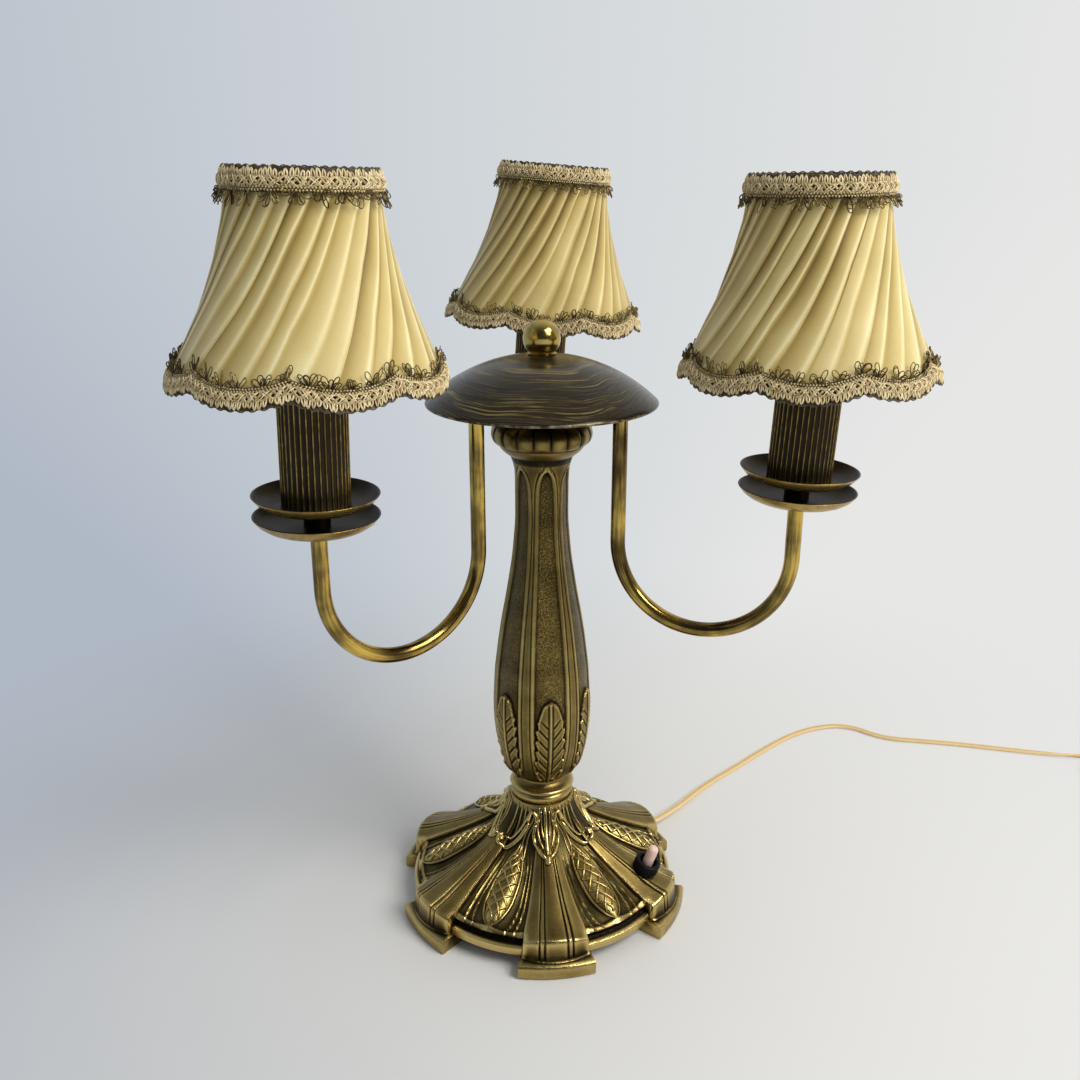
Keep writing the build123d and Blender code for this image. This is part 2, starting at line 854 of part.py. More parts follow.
with BuildPart() as shade_frame:
    for radius, height in zip(ring_radii, ring_heights):
        outer, inner = cloth_rings((radius + wire, height - wire), (radius - wire, height - wire))
        extrude(outer, amount=2 * wire)
        extrude(inner, amount=2 * wire, mode=Mode.SUBTRACT)
    with BuildSketch(*[radial_plane(a) for a in round_angles(rib_count, 180 / rib_count)]):
        with BuildLine():
            Polyline(*strip(rib_line, 2 * wire), close=True)
        make_face()
    extrude(amount=wire, both=True)


def bulb_girth(height):
    """Radius of the bulb's glass at a height."""
    rise = height - bulb_foot
    for (r_low, z_low), (r_high, z_high) in zip(bulb_outline, bulb_outline[1:]):
        if z_low <= rise <= z_high:
            return r_low + (r_high - r_low) * (rise - z_low) / (z_high - z_low)
    return bulb_outline[-1][0]


# The clip's two rings hug the bulb and its legs carry the frame's upper ring
hug_radii = [bulb_girth(z - wire) + air + wire for z in (clip_low, clip_high)]
leg_line = [*zip(hug_radii, (clip_low, clip_high)), (ring_radii[0] - 3 * wire, ring_heights[0])]

with BuildPart() as bulb_clip:
    for radius, height in leg_line[:2]:
        with BuildSketch(Plane.XY.offset(height - wire)):
            RegularPolygon(radius + wire, round_sides)
            RegularPolygon(radius - wire, round_sides, mode=Mode.SUBTRACT)
        extrude(amount=2 * wire)
    with BuildSketch(*[radial_plane(a) for a in round_angles(clip_legs, 0)]):
        with BuildLine():
            Polyline(*strip(leg_line, 1.6 * wire), close=True)
        make_face()
    extrude(amount=wire, both=True)

# ------------------------------------------------------------------ the three arms and candles
leaning = radians(lean_towards)
for side, angle in arm_angles.items():
    write(arm, f"arm_{side}", spin(angle))
    lean = radians(candle_leans[side])
    candle_plane = Plane(
        origin=(arm_reach * cos(radians(angle)), arm_reach * sin(radians(angle)), lean_height),
        x_dir=(1, 0, 0),
        z_dir=(sin(lean) * cos(leaning), sin(lean) * sin(leaning), cos(lean)),
    )
    candle = candle_plane.location * Location((0, 0, -lean_height))
    shade_place = candle * spin(scallop_angles[side])
    write(pan, f"lower_pan_{side}", candle * Location((0, 0, lower_pan)))
    write(pan_spacer, f"pan_spacer_{side}", candle)
    write(pan, f"upper_pan_{side}", candle * Location((0, 0, upper_pan)))
    write(stem_nut, f"stem_nut_{side}", candle)
    write(candle_sleeve, f"candle_sleeve_{side}", candle)
    write(lampholder, f"lampholder_{side}", candle)
    write(bulb_cap, f"bulb_cap_{side}", candle)
    write(bulb_glass, f"bulb_glass_{side}", candle)
    write(bulb_clip, f"bulb_clip_{side}", shade_place)
    write(shade_frame, f"shade_frame_{side}", shade_place)
    write(shade_cover, f"shade_cover_{side}", shade_place)
    write(top_braid, f"top_braid_{side}", shade_place)
    write(bottom_braid, f"bottom_braid_{side}", shade_place)

# ------------------------------------------------------------------ cord, coil and plug
with BuildPart() as cord_grommet:
    with BuildSketch(facing_plane(cord_hole_angle, foot_face - foot_wall, cord_hole_height)):
        Circle(grommet_radius)
    extrude(amount=foot_wall - grommet_flange)
    with BuildSketch(facing_plane(cord_hole_angle, foot_face - grommet_flange, cord_hole_height)):
        Circle(grommet_flange_radius)
    extrude(amount=grommet_flange)
    with BuildSketch(facing_plane(cord_hole_angle, foot_face - foot_wall, cord_hole_height)):
        Circle(cord_diameter / 2 + seat)
    extrude(amount=foot_wall, mode=Mode.SUBTRACT)
write(cord_grommet, "cord_grommet")

route = [Vector(*p) for p in cord_points]
bends = []
for before, here, after in zip(route, route[1:], route[2:]):
    run_in, run_out = here - before, after - here
    half_turn = radians(run_in.get_angle(run_out)) / 2
    bends.append(arc_share * min(run_in.length, run_out.length) / tan(half_turn))
print("cord bend radii", [round(b) for b in bends])

with BuildPart() as cord_lead:
    with BuildLine():
        lead_path = FilletPolyline(*route, radius=bends)
    with BuildSketch(Plane(origin=lead_path @ 0, z_dir=lead_path % 0)):
        RegularPolygon(cord_diameter / 2, cord_sides)
    sweep(path=lead_path)
print("cord lead length", round(lead_path.length, 1))
write(cord_lead, "cord_lead")

# The rest of the cord is wound in one coil that the lead joins at a tangent.
arrival = (route[-1] - route[-2]).normalized()
coil_centre = route[-1] + Vector(arrival.Y, -arrival.X, 0) * coil_radius

with BuildPart() as cord_coil:
    with BuildSketch(Plane.XZ) as windings:
        with Locations((coil_radius, coil_height / 2)):
            Rectangle(coil_width, coil_height)
        chamfer(windings.vertices(), cord_diameter / 2)
    revolve(axis=Axis.Z)
write(cord_coil, "cord_coil", Location((coil_centre.X, coil_centre.Y, 0)))

coil_edge = coil_radius + coil_width / 2
nose_end = sqrt(coil_edge**2 - (coil_radius - plug_nose_radius) ** 2) + air
plug_rear = coil_edge + air
plug_place = Location((coil_centre.X, coil_centre.Y, 0)) * spin(plug_turn)

with BuildPart() as plug_body:
    with BuildSketch(Plane.XY):
        with Locations((plug_rear + plug_length / 2, coil_radius)):
            RectangleRounded(plug_length, plug_width, plug_corner)
    extrude(amount=plug_height)
    chamfer(plug_body.edges().group_by(Axis.Z)[-1], plug_bevel)
    with BuildSketch(Plane(origin=(nose_end, coil_radius, plug_height / 2), z_dir=(1, 0, 0))):
        Circle(plug_nose_radius)
    extrude(amount=plug_rear - nose_end + plug_nose_root)
write(plug_body, "plug_body", plug_place)

with BuildPart() as plug_pins:
    front = plug_rear + plug_length
    for offset in (-pin_spacing / 2, pin_spacing / 2):
        with BuildSketch(Plane(origin=(front, coil_radius + offset, plug_height / 2), z_dir=(1, 0, 0))):
            Circle(pin_radius)
        extrude(amount=pin_length)
    chamfer(plug_pins.edges().group_by(Axis.X)[-1], pin_bevel)
write(plug_pins, "plug_pins", plug_place)
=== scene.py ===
"""Looks of a three-light candelabra table lamp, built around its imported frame."""

from functools import cache
from math import cos, pi, radians, sin

import bpy
import numpy as np
from mathutils import Matrix, Vector


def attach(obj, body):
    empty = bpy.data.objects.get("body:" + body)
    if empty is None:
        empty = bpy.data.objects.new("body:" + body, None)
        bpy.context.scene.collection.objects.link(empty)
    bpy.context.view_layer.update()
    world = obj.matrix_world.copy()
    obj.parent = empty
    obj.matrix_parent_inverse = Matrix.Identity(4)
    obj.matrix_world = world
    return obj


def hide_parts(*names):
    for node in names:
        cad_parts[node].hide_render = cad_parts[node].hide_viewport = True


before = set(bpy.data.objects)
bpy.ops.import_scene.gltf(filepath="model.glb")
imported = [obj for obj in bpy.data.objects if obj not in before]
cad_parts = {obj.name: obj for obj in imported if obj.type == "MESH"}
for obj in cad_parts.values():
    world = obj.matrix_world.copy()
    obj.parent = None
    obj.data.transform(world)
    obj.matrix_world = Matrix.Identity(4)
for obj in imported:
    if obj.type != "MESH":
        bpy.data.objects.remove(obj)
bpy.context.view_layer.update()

bl_info = {
    "name": "Candelabra Lamp",
    "version": (1, 0, 0),
    "blender": (4, 5, 0),
    "location": "View3D > Sidebar > Lamp",
    "description": "Cast brass foot and column, bent arms, canopy and pleated clip-on shades",
    "category": "Add Mesh",
}

MM = 0.001
SIDES = ("left", "right", "back")
ARM_ANGLES = {"left": 213.9, "right": 336.0, "back": 85.9}
ARM_REACH = 135.6
LEANS = {"left": 1.5, "right": 2.5, "back": 4.0}
LEAN_TOWARDS = -5.7
LEAN_HEIGHT = 269.0
SCALLOP_ANGLES = {"left": 20.1, "right": 27.5, "back": 39.5}
FOOT_ANGLE = -90.0
COLUMN_ANGLE = -85.0
SWITCH_ANGLE = -30.0


# ------------------------------------------------------------------ settings
def colour(name, text, value):
    """A colour that can be changed."""
    limits = {"subtype": "COLOR", "size": 3, "min": 0.0, "max": 1.0}
    return bpy.props.FloatVectorProperty(name=name, description=text, default=value, **limits)


def length(name, text, value):
    """A length that can be changed."""
    kind = {"unit": "LENGTH", "subtype": "DISTANCE"}
    return bpy.props.FloatProperty(name=name, description=text, default=value, **kind)


class LampSizes(bpy.types.PropertyGroup):
    """Sizes that can be changed"""

    arm_tube: length("Arm Tube", "Outside diameter of the arms' tube", 0.008)
    flex_width: length("Flex Width", "Width of the flat twin flex", 0.005)


class LampColours(bpy.types.PropertyGroup):
    """Colours that can be changed"""

    brass: colour("Brass", "Old cast brass, neither rubbed nor dark", (0.27, 0.19, 0.058))
    bronze: colour("Bronze", "Dark patina of the pans and sleeves", (0.022, 0.0155, 0.0085))
    lacquer: colour("Lacquer", "Ground colour of the canopy", (0.026, 0.017, 0.0065))
    silk: colour("Silk", "Silk of the shades between its folds", (0.65, 0.52, 0.215))
    gimp: colour("Gimp", "Cream cord of the braids", (0.56, 0.42, 0.19))
    flex: colour("Flex", "Golden body of the flex", (0.78, 0.52, 0.20))


def look(name):
    """A colour in use."""
    return tuple(getattr(bpy.context.scene.lamp_colours, name))


# ------------------------------------------------------------------ shader sums
class Wire:
    """A shader socket that can stand in a sum: an expression on wires adds its Math nodes."""

    def __init__(self, finish, socket):
        self.finish, self.socket = finish, socket

    def maths(self, operation, *values):
        """Adds one Math node."""
        sockets = dict(enumerate(values))
        return self.finish.node("ShaderNodeMath", {"operation": operation}, sockets)

    __add__ = __radd__ = lambda self, other: self.maths("ADD", self, other)
    __sub__ = lambda self, other: self.maths("SUBTRACT", self, other)
    __rsub__ = lambda self, other: self.maths("SUBTRACT", other, self)
    __mul__ = __rmul__ = lambda self, other: self.maths("MULTIPLY", self, other)

    def step(self, low, high):
        """Runs from 0 to 1 between two values, smoothly."""
        settings = {"interpolation_type": "SMOOTHSTEP"}
        sockets = {"Value": self, "From Min": low, "From Max": high}
        return self.finish.node("ShaderNodeMapRange", settings, sockets)


class Finish:
    """A procedural material, or the room's light, under construction."""

    def __init__(self, name, room=None):
        self.material = room or bpy.data.materials.new(name)
        self.material.use_nodes = True
        self.tree = self.material.node_tree
        self.shader = self.tree.nodes["Background" if room else "Principled BSDF"]

    def node(self, kind, settings=None, sockets=None, out=0):
        """Adds one node: its settings first, then the values or wires of its sockets."""
        node = self.tree.nodes.new(kind)
        for key, value in (settings or {}).items():
            setattr(node, key, value)
        for key, value in (sockets or {}).items():
            self.plug(value, node.inputs[key])
        return Wire(self, node.outputs[out])

    def plug(self, value, socket):
        """Links a wire to a socket, or sets the socket to a value."""
        if isinstance(value, Wire):
            self.tree.links.new(value.socket, socket)
        elif isinstance(value, tuple) and len(value) == 3 and len(socket.default_value) == 4:
            socket.default_value = (*value, 1)
        else:
            socket.default_value = value

    def vector(self, operation, *values, out=0):
        """Vector maths on wires and values."""
        sockets = dict(enumerate(values))
        return self.node("ShaderNodeVectorMath", {"operation": operation}, sockets, out)

    def part(self, vector, axis):
        """One coordinate of a vector."""
        return self.node("ShaderNodeSeparateXYZ", None, {0: vector}, axis)

    def place(self, scale=(1, 1, 1)):
        """The piece's own coordinates in millimetres, stretched by a scale."""
        spot = self.node("ShaderNodeTexCoord", out="Object")
        size = tuple(s / MM for s in scale)
        return self.node("ShaderNodeMapping", None, {"Vector": spot, "Scale": size})

    def lay(self, scale, turn=0.0):
        """The piece's own lay in millimetres, along and across it, stretched and turned."""
        spot = self.node("ShaderNodeAttribute", {"attribute_name": "lay"}, out="Vector")
        sockets = {"Vector": spot, "Scale": scale, "Rotation": (0.0, 0.0, turn)}
        return self.node("ShaderNodeMapping", None, sockets)

    def noise(self, scale, detail=3, rough=0.5, at=None, warp=0.0, out=0):
        """Noise whose blotches are about 1 / scale millimetres across."""
        sockets = {"Vector": at or self.place(), "Scale": scale, "Detail": detail}
        sockets.update({"Roughness": rough, "Distortion": warp})
        return self.node("ShaderNodeTexNoise", None, sockets, out)

    def mark(self, name):
        """A value painted on the piece's points."""
        return self.node("ShaderNodeAttribute", {"attribute_name": name}, out="Fac")

    def mix(self, first, second, share):
        """Two colours mixed."""
        settings = {"data_type": "RGBA"}
        return self.node("ShaderNodeMix", settings, {0: share, 6: first, 7: second}, out=2)

    def ramp(self, share, *stops):
        """Colours along a share from 0 to 1."""
        wire = self.node("ShaderNodeValToRGB", None, {"Fac": share})
        bar = wire.socket.node.color_ramp.elements
        while len(bar) < len(stops):
            bar.new(0.5)
        for stop, (place, tint) in zip(bar, stops):
            stop.position, stop.color = place, (*tint, 1)
        return wire

    def bump(self, height, distance, strength=1.0):
        """Small relief, its depth in millimetres."""
        sockets = {"Height": height, "Distance": distance * MM, "Strength": strength}
        return self.node("ShaderNodeBump", None, sockets)

    def done(self, **sockets):
        """Plugs the shader's sockets, named with underscores for spaces."""
        for key, value in sockets.items():
            self.plug(value, self.shader.inputs[key.replace("_", " ")])
        return self.material


# ------------------------------------------------------------------ modelling helpers
def started(name, points, edges, faces, material):
    """A new piece from points in millimetres, the only one selected."""
    mesh = bpy.data.meshes.new(name)
    mesh.from_pydata(np.asarray(points, float) * MM, edges, faces)
    mesh.materials.append(material)
    piece = bpy.data.objects.new(name, mesh)
    bpy.context.collection.objects.link(piece)
    bpy.ops.object.select_all(action="DESELECT")
    piece.select_set(True)
    bpy.context.view_layer.objects.active = piece
    return piece


def solid(name, points, faces, material, smooth=40.0):
    """A closed shell from points in millimetres, smooth where it bends gently, facing outwards."""
    piece = started(name, points, [], faces, material)
    bpy.ops.object.shade_smooth_by_angle(angle=radians(smooth))
    bpy.ops.object.mode_set(mode="EDIT")
    bpy.ops.mesh.select_all(action="SELECT")
    bpy.ops.mesh.normals_make_consistent(inside=False)
    bpy.ops.object.mode_set(mode="OBJECT")
    return piece


def shell(name, grid, material, smooth, place=None):
    """A shell from a grid of points whose rows and columns close on themselves."""
    points = grid.reshape(-1, 3)
    if place is not None:
        points = placed(points, place)
    return solid(name, points, lattice(*grid.shape[:2], True), material, smooth)


def turned(name, profile, material, sides, smooth, place=None):
    """A piece turned on a lathe: a profile of radii and heights, spun about the axis."""
    last = len(profile) - 1
    closed = profile[0][0] > 0 and profile[-1][0] > 0
    edges = [(i, i + 1) for i in range(last)] + [(last, 0)] * closed
    piece = started(name, [(r, 0, z) for r, z in profile], edges, [], material)
    bpy.ops.object.mode_set(mode="EDIT")
    bpy.ops.mesh.select_all(action="SELECT")
    bpy.ops.mesh.spin(steps=sides, angle=2 * pi, center=(0, 0, 0), axis=(0, 0, 1))
    bpy.ops.mesh.select_all(action="SELECT")
    bpy.ops.mesh.remove_doubles(threshold=0.000005)
    bpy.ops.mesh.normals_make_consistent(inside=False)
    bpy.ops.object.mode_set(mode="OBJECT")
    if place is not None:
        piece.data.transform(place)
    bpy.ops.object.shade_smooth_by_angle(angle=radians(smooth))
    return piece


def settle(piece, slot, *nodes, body="stand"):
    """Says which body a finished piece rides on and hides the nodes it replaces; the slot is not
    used.
    """
    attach(piece, body)
    if nodes:
        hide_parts(*nodes)


def finish_nodes(material, *nodes):
    """Gives carried-over nodes their material."""
    for name in nodes:
        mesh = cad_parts[name].data
        mesh.materials.clear()
        mesh.materials.append(material)


def paint(piece, name, values):
    """Stores one value a point, for the materials to read."""
    layer = piece.data.attributes.new(name, "FLOAT", "POINT")
    layer.data.foreach_set("value", np.asarray(values, np.float32).ravel())


def lay_out(piece, along, across, off):
    """Stores where each point lies along, across and off its piece, for the materials to read."""
    layer = piece.data.attributes.new("lay", "FLOAT_VECTOR", "POINT")
    rows = np.stack(np.broadcast_arrays(along, across, off), -1)
    layer.data.foreach_set("vector", rows.astype(np.float32).ravel())


def spots(piece, place=Matrix()):
    """Each point's distance from the axis of a place and its height along it, in millimetres."""
    points = np.empty(len(piece.data.vertices) * 3)
    piece.data.vertices.foreach_get("co", points)
    back = place.inverted()
    points = points.reshape(-1, 3) @ np.array(back.to_3x3()).T + np.array(back.translation)
    return np.hypot(points[:, 0], points[:, 1]) / MM, points[:, 2] / MM


def placed(points, place):
    """Points in millimetres moved by a place in metres."""
    turn, shift = np.array(place.to_3x3()), np.array(place.translation) / MM
    return np.asarray(points, float) @ turn.T + shift


def upright(foot, across, up):
    """The place whose origin is a foot and whose third axis is up, in metres."""
    turn = Matrix((across, up.cross(across), up)).transposed().to_4x4()
    return Matrix.Translation(foot) @ turn


def candle_place(side):
    """Where a candle stands: its arm's end, with the candle's lean."""
    angle, lean, towards = radians(ARM_ANGLES[side]), radians(LEANS[side]), radians(LEAN_TOWARDS)
    foot = Vector((ARM_REACH * cos(angle), ARM_REACH * sin(angle), LEAN_HEIGHT)) * MM
    up = Vector((sin(lean) * cos(towards), sin(lean) * sin(towards), cos(lean)))
    across = Vector((1, 0, 0))
    across = (across - up * across.dot(up)).normalized()
    return upright(foot, across, up) @ Matrix.Translation((0, 0, -LEAN_HEIGHT * MM))


def lattice(rows, columns, wrap_rows=False):
    """The quads of a grid of points whose columns close on themselves."""
    index = np.arange(rows * columns).reshape(rows, columns)
    right = np.roll(index, -1, axis=1)
    if wrap_rows:
        up, up_right = np.roll(index, -1, axis=0), np.roll(right, -1, axis=0)
    else:
        index, up = index[:-1], index[1:]
        up_right, right = right[1:], right[:-1]
    return np.stack([index, right, up_right, up], -1).reshape(-1, 4).tolist()


def tube_faces(rows, sides, ring=False):
    """The faces of a tube of rows of points: a ring, or closed at both ends."""
    faces = lattice(rows, sides, ring)
    if not ring:
        faces += [list(range(sides))[::-1], list(range((rows - 1) * sides, rows * sides))]
    return faces


def circle(count, whole=360):
    """Angles evenly round a circle."""
    return np.arange(count) * whole / count


def polar(angle, distance, height):
    """Points from angles in degrees, distances from the axis and heights."""
    angle, distance, height = np.broadcast_arrays(np.radians(angle), distance, height)
    return np.stack([distance * np.cos(angle), distance * np.sin(angle), height], -1)


def unit(rows):
    """Rows of vectors drawn to length 1."""
    return rows / np.linalg.norm(rows, axis=1, keepdims=True)


def run_lengths(line):
    """How far along a line each of its points lies."""
    return np.concatenate([[0], np.cumsum(np.linalg.norm(np.diff(line, axis=0), axis=1))])


def hump(distance, width):
    """1 at distance 0, falling smoothly to 0 at a width."""
    return np.cos(np.clip(np.abs(distance) / width, 0, 1) * pi / 2) ** 2


def ease(value, low, high):
    """0 below a value, 1 above another, smooth between."""
    t = np.clip((value - low) / (high - low), 0, 1)
    return t * t * (3 - 2 * t)


def smooth_curve(x, xs, ys):
    """A smooth curve through points that doesn't overshoot them."""
    xs, ys = np.asarray(xs, float), np.asarray(ys, float)
    runs = np.diff(ys) / np.diff(xs)
    slopes = np.concatenate([runs[:1], (runs[1:] + runs[:-1]) / 2, runs[-1:]])
    flat = np.concatenate([[False], runs[1:] * runs[:-1] <= 0, [False]])
    slopes[flat] = 0
    i = np.clip(np.searchsorted(xs, x) - 1, 0, len(xs) - 2)
    wide = xs[i + 1] - xs[i]
    t = np.clip((x - xs[i]) / wide, 0, 1)
    a, b = (1 + 2 * t) * (1 - t) ** 2, t**2 * (3 - 2 * t)
    c, d = t * (1 - t) ** 2, t**2 * (t - 1)
    return a * ys[i] + b * ys[i + 1] + wide * (c * slopes[i] + d * slopes[i + 1])


def flow(points, steps=5):
    """A smooth line through points. A point that is given twice is a corner."""
    rows = np.asarray(points, float)
    corners = [i for i in range(len(rows) - 1) if np.allclose(rows[i], rows[i + 1])]
    line, start = [], 0
    for end in [*corners, len(rows) - 1]:
        run = rows[start : end + 1]
        start = end + 1
        if len(run) < 3:
            line += list(run)
            continue
        pad = np.vstack([2 * run[0] - run[1], run, 2 * run[-1] - run[-2]])
        for a, b, c, d in zip(pad, pad[1:], pad[2:], pad[3:]):
            for t in np.arange(steps) / steps:
                bend = 2 * a - 5 * b + 4 * c - d, 3 * b - a - 3 * c + d
                line.append(b + 0.5 * ((c - a) * t + bend[0] * t**2 + bend[1] * t**3))
        line.append(run[-1])
    return np.array(line)


def sweep(line, girth, up, sides=6, ring=False):
    """A tube along a line: its points, rows of them along the line, and its faces."""
    line = np.asarray(line, float)
    if ring:
        ahead = unit(np.roll(line, -1, axis=0) - np.roll(line, 1, axis=0))
    else:
        ahead = unit(np.gradient(line, axis=0))
    up = np.broadcast_to(np.asarray(up, float), line.shape)
    up = unit(up - ahead * (up * ahead).sum(1, keepdims=True))
    side = np.cross(up, ahead)
    turn = circle(sides, 2 * pi)[:, None]
    girth = np.broadcast_to(np.asarray(girth, float), (len(line),))[:, None, None]
    across = side[:, None] * np.cos(turn) + up[:, None] * np.sin(turn)
    points = (line[:, None] + girth * across).reshape(-1, 3)
    return points, tube_faces(len(line), sides, ring)


class Bundle:
    """Many small shells gathered into one piece."""

    def __init__(self):
        self.points, self.faces, self.marks, self.count = [], [], [], 0

    def add(self, points, faces, mark=0.0):
        """Adds one shell, with one mark for all its points or one for each."""
        self.faces += [[i + self.count for i in face] for face in faces]
        self.points.append(points)
        self.marks.append(np.broadcast_to(np.asarray(mark, float), (len(points),)))
        self.count += len(points)

    def piece(self, name, material, attribute=None):
        """The gathered shells as one piece, their marks painted on it if an attribute is named."""
        piece = solid(name, np.concatenate(self.points), self.faces, material, 60.0)
        if attribute:
            paint(piece, attribute, np.concatenate(self.marks))
        return piece


def relief(grid, reach):
    """How far each point of a closed grid stands proud of its surroundings, in millimetres."""
    mean = grid.copy()
    for _ in range(reach):
        for axis in (1, 0):
            mean = (np.roll(mean, 1, axis) + np.roll(mean, -1, axis) + 2 * mean) / 4
    along, down = (np.roll(mean, -1, axis) - np.roll(mean, 1, axis) for axis in (1, 0))
    out = np.cross(along, down)
    out /= np.linalg.norm(out, axis=-1, keepdims=True) + 1e-9
    return ((grid - mean) * out).sum(-1)


# ------------------------------------------------------------------ finishes
@cache
def antique_brass():
    """Cast brass with brown recesses and rubbed edges."""
    f = Finish("antique_brass")
    stipple = f.mark("stipple")
    blotch, grain = f.noise(0.055, 4, 0.6), f.noise(1.4, 4, 0.7)
    dents = f.noise(1.9, 2, 0.5, f.place((1.0, 1.0, 1.3))).step(0.32, 0.7)
    wear = f.mark("proud") + (blotch - 0.5) * 0.32 + (grain - 0.5) * 0.26
    wear = wear + (dents - 0.5) * stipple * 0.22
    dark, brown, rubbed = (0.02, 0.015, 0.008), (0.062, 0.045, 0.016), (0.70, 0.54, 0.21)
    tint = f.ramp(wear, (0.1, dark), (0.32, brown), (0.55, look("brass")), (0.92, rubbed))
    green = f.noise(0.09, 3, 0.6).step(0.5, 0.75) * 0.4
    tint = f.mix(tint, (0.11, 0.105, 0.035), green * (1 - wear.step(0.45, 0.8)))
    casting = grain * 0.22 + f.noise(0.35, 3, 0.6) * 0.5
    rough = 0.4 - wear.step(0.3, 0.95) * 0.17 + (grain - 0.5) * 0.18 - stipple * 0.1
    uneven = f.bump(dents * stipple * 1.5 + casting, 0.35, 0.55)
    return f.done(Base_Color=tint, Metallic=1.0, Roughness=rough, Normal=uneven)


@cache
def polished_brass():
    """Turned brass, bright with a few dull patches."""
    f = Finish("polished_brass")
    dull = f.noise(0.12, 4, 0.6).step(0.45, 0.75)
    fine = f.noise(2.5, 3, 0.6, f.place((1, 1, 6)))
    tint = f.mix((0.55, 0.415, 0.12), (0.26, 0.185, 0.06), dull * 0.75 + fine * 0.2)
    rough = 0.09 + dull * 0.13 + fine * 0.05
    return f.done(Base_Color=tint, Metallic=1.0, Roughness=rough, Normal=f.bump(fine, 0.05, 0.3))


@cache
def tube_brass():
    """Bent tube with brown lacquer rubbed off in patches and in streaks along it."""
    f = Finish("tube_brass")
    streak = f.noise(1.0, 4, 0.6, f.lay((0.045, 0.7, 0.7)))
    worn = (streak * 0.38 + f.noise(0.032, 3, 0.5) * 0.85).step(0.44, 0.74)
    brown, dull, bright = (0.085, 0.055, 0.018), (0.29, 0.195, 0.055), (0.70, 0.48, 0.10)
    tint = f.ramp(worn, (0.0, brown), (0.5, dull), (1.0, bright))
    fine = f.noise(1.0, 2, 0.5, f.lay((0.2, 3.0, 3.0)))
    rough = 0.18 - worn * 0.06 + fine * 0.06
    return f.done(Base_Color=tint, Metallic=1.0, Roughness=rough, Normal=f.bump(fine, 0.04, 0.3))


@cache
def dark_bronze():
    """Dark patina that is rubbed golden at edges and ridges."""
    f = Finish("dark_bronze")
    bare = (f.mark("rubbed") * 0.85 + (f.noise(0.25, 4, 0.65) - 0.5) * 0.7).step(0.45, 0.95)
    cloud = f.noise(0.08, 3, 0.5)
    tint = f.mix(f.mix(look("bronze"), (0.045, 0.031, 0.016), cloud), (0.46, 0.31, 0.08), bare)
    rough = 0.34 + cloud * 0.16 - bare * 0.14
    uneven = f.bump(f.noise(1.2, 3), 0.06, 0.3)
    return f.done(Base_Color=tint, Metallic=0.85, Roughness=rough, Normal=uneven)


@cache
def brown_lacquer():
    """Brown lacquer with combed golden and grey swirls, worn at the rim."""
    f = Finish("brown_lacquer")
    spot = f.place()
    drift = f.noise(0.018, 1.5, 0.5, spot, 0.4, "Color")
    bent = f.vector("MULTIPLY_ADD", drift, (13, 13, 0), spot)
    centred = f.vector("SUBTRACT", f.vector("MULTIPLY", bent, (1, 1, 0)), (6.5, 6.5, 0))
    ring = f.vector("LENGTH", centred, out="Value")

    def comb(across, along):
        """Noise drawn out round the canopy into strokes."""
        parts = {0: ring * across, 1: f.part(bent, "X") * along, 2: f.part(bent, "Y") * along}
        return f.noise(1.0, 5, 0.62, f.node("ShaderNodeCombineXYZ", None, parts))

    fine, broad = comb(1.25, 0.024), comb(0.2, 0.016)
    gold = fine.step(0.46, 0.64) * broad.step(0.48, 0.62)
    grey = (1 - fine).step(0.44, 0.62) * broad.step(0.58, 0.42)
    edge = (f.mark("rim") + f.noise(0.16, 4, 0.7) * 0.9).step(1.35, 1.6)
    tint = f.mix(look("lacquer"), (0.105, 0.088, 0.056), grey * 0.6)
    tint = f.mix(tint, (0.34, 0.26, 0.09), gold * 0.8)
    tint = f.mix(tint, (0.30, 0.25, 0.17), edge)
    rough, combed = 0.2 + edge * 0.2 + fine * 0.1, f.bump(fine, 0.05, 0.35)
    f.done(Metallic=0.5, Coat_Weight=0.06, Specular_IOR_Level=0.3)
    return f.done(Base_Color=tint, Roughness=rough, Normal=combed)


@cache
def pleated_silk():
    """Cream-gold silk with a fine weave, its creases darkened with painted shade and its crests lit
    with a painted highlight.
    """
    f = Finish("pleated_silk")
    threads = [f.noise(1.0, 2, 0.6, f.lay(scale)) for scale in ((5.5, 0.5, 1.0), (0.5, 5.5, 1.0))]
    weave = threads[0] * 0.5 + threads[1] * 0.5
    age = f.noise(0.035, 3, 0.5)
    shade = f.mark("fold") * 0.98 + (age - 0.5) * 0.36 + (weave - 0.5) * 0.25
    shaded_crease, brown, bright = (0.20, 0.13, 0.027), (0.46, 0.335, 0.098), (0.90, 0.80, 0.45)
    # The fold mark carries painted shade into the creases and a painted highlight along the crests
    tint = f.ramp(shade, (0.0, shaded_crease), (0.4, brown), (0.72, look("silk")), (1.0, bright))
    f.done(Sheen_Weight=0.35, Sheen_Roughness=0.4, Specular_IOR_Level=0.35)
    return f.done(Base_Color=tint, Roughness=0.56 + weave * 0.14, Normal=f.bump(weave, 0.07, 0.5))


@cache
def gimp():
    """Twisted cream cord of the braids; its tone mark also carries painted shade between and under
    the threads.
    """
    f = Finish("gimp")
    fibre, dirt = f.noise(3.5, 3, 0.6), f.noise(0.11, 3, 0.6)
    share = f.mark("tone") * 0.9 + (fibre - 0.5) * 0.5 + (dirt - 0.5) * 0.45
    dark, brown, bright = (0.045, 0.03, 0.012), (0.24, 0.16, 0.045), (0.86, 0.74, 0.46)
    tint = f.ramp(share, (0.0, dark), (0.3, brown), (0.58, look("gimp")), (0.88, bright))
    rough, fuzz = 0.52 + fibre * 0.2, f.bump(fibre, 0.08, 0.5)
    return f.done(Base_Color=tint, Sheen_Weight=0.25, Roughness=rough, Normal=fuzz)


